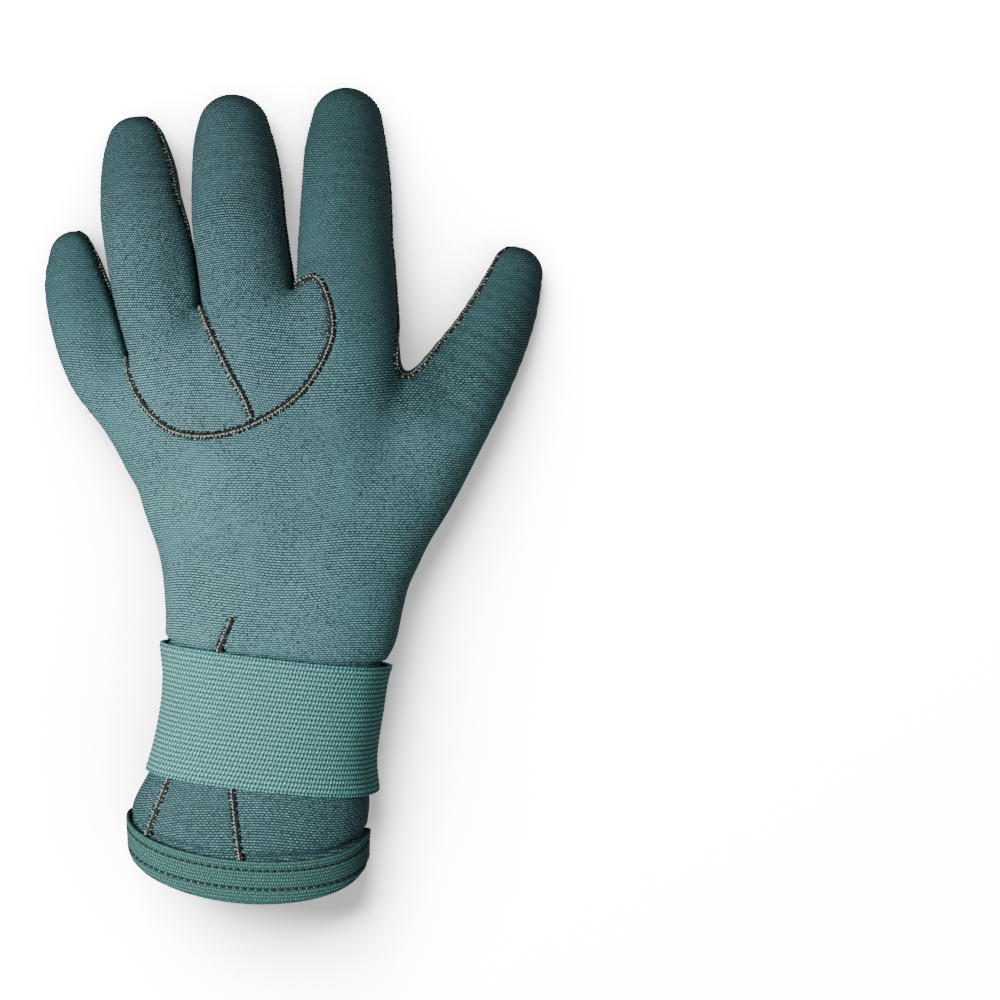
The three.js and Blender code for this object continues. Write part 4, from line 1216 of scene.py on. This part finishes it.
def palm_print():
    cells = print_cells()
    corners = {}
    plan = []
    for key in [key for cell in cells for key in cell_corners(*cell)]:
        if key not in corners:
            i, j, row, column = key
            corners[key] = len(plan)
            local = (np.array([column, row]) - len(MOTIF) / 2) * PRINT_CELL
            plan.append(turned(i, j) * PRINT_PITCH + turned(*local))
    surface, out, found = under_side(np.array(plan))
    good = found & (out[:, 2] < -0.5) & (palm_side(surface) > PRINT_MARGIN)
    vertices, faces = [], []
    numbers = {}

    def vertex(key, raised):
        where = (key, raised)
        if where not in numbers:
            numbers[where] = len(vertices)
            k = corners[key]
            point = surface[k] + out[k] * (PRINT_HEIGHT if raised else -PRINT_SUNK)
            point[2] = max(point[2], PRINT_CLEARANCE["top" if raised else "foot"])
            vertices.append(point)
        return numbers[where]

    filled = {cell for cell in cells if all(good[corners[key]] for key in cell_corners(*cell))}
    for i, j, row, column in sorted(filled):
        keys = cell_corners(i, j, row, column)
        faces.append([vertex(key, True) for key in keys])
        for k, (up, right) in enumerate(((0, -1), (1, 0), (0, 1), (-1, 0))):
            if (i, j, row + up, column + right) not in filled:
                a, b = keys[k], keys[(k + 1) % 4]
                faces.append([vertex(b, True), vertex(a, True), vertex(a, False), vertex(b, False)])
    piece = make_piece("palm_print", close_clefts(np.array(vertices)), faces, [PRINT])
    piece.data.polygons.foreach_set("use_smooth", np.zeros(len(faces), bool))


palm_print()


# The floor, light and camera
CONTACT_SHADE = {"reach": 0.06, "power": 2.5}
PAPER_GLOW = 0.5
FLOOR_HALF = 1.6
WORLD_STRENGTH = 0.26
CAMERA = {"place": (65.2, -1.6, 520), "sensor": 36, "lens": 56.7}


def make_floor():
    mesh = bpy.data.meshes.new("floor")
    half = FLOOR_HALF
    corners = [(-half, -half, 0), (half, -half, 0), (half, half, 0), (-half, half, 0)]
    mesh.from_pydata(corners, [], [(0, 1, 2, 3)])
    material, tree, shader = start_material("floor_paper", 0.9)
    at = millimetres(tree)
    cloudy, _ = noise(tree, at, 0.004, 2.0)
    white = mix_colours(tree, cloudy, (0.93, 0.93, 0.93, 1), (0.96, 0.96, 0.96, 1))
    # Painted shadow: the paper's colour is darkened near the glove, by how open each place is
    openness = node(tree, "ShaderNodeAmbientOcclusion", {"Distance": CONTACT_SHADE["reach"]}).outputs["AO"]
    shade = scaled(tree, white, maths(tree, "POWER", openness, CONTACT_SHADE["power"]))
    tree.links.new(shade, shader.inputs["Base Color"])
    shader.inputs["Emission Color"].default_value = (1, 1, 1, 1)
    shader.inputs["Emission Strength"].default_value = PAPER_GLOW
    mesh.materials.append(material)
    floor = bpy.data.objects.new("floor", mesh)
    bpy.context.scene.collection.objects.link(floor)
    return floor


def area_light(name, place_at, aim, size, power, lit_objects):
    """A soft light that falls only on these objects, though all of them shade it."""
    data = bpy.data.lights.new(name, "AREA")
    data.size = size
    data.energy = power
    light = bpy.data.objects.new(name, data)
    bpy.context.scene.collection.objects.link(light)
    light.location = place_at
    direction = Vector(aim) - Vector(place_at)
    light.rotation_euler = direction.to_track_quat("-Z", "Y").to_euler()
    receivers = bpy.data.collections.new(f"{name}_receivers")
    for lit in lit_objects:
        receivers.objects.link(lit)
    light.light_linking.receiver_collection = receivers


floor = make_floor()
floor.visible_diffuse = False
floor.visible_glossy = False
area_light("key", (-0.14, -0.05, 0.25), aim=(-0.01, 0, 0.02), size=0.15, power=1.4,
           lit_objects=glove_pieces)
area_light("paper_light", (-0.26, 0.6, 0.9), aim=(0, 0, 0), size=0.8, power=360.0, lit_objects=[floor])

world = bpy.data.worlds.new("studio")
world.use_nodes = True
background = world.node_tree.nodes["Background"]
background.inputs["Color"].default_value = (1, 1, 1, 1)
background.inputs["Strength"].default_value = WORLD_STRENGTH
bpy.context.scene.world = world

camera_data = bpy.data.cameras.new("camera")
camera_data.sensor_width = CAMERA["sensor"]
camera_data.lens = CAMERA["lens"]
camera = bpy.data.objects.new("camera", camera_data)
camera.location = place(CAMERA["place"]).tolist()
bpy.context.scene.collection.objects.link(camera)
bpy.context.scene.camera = camera
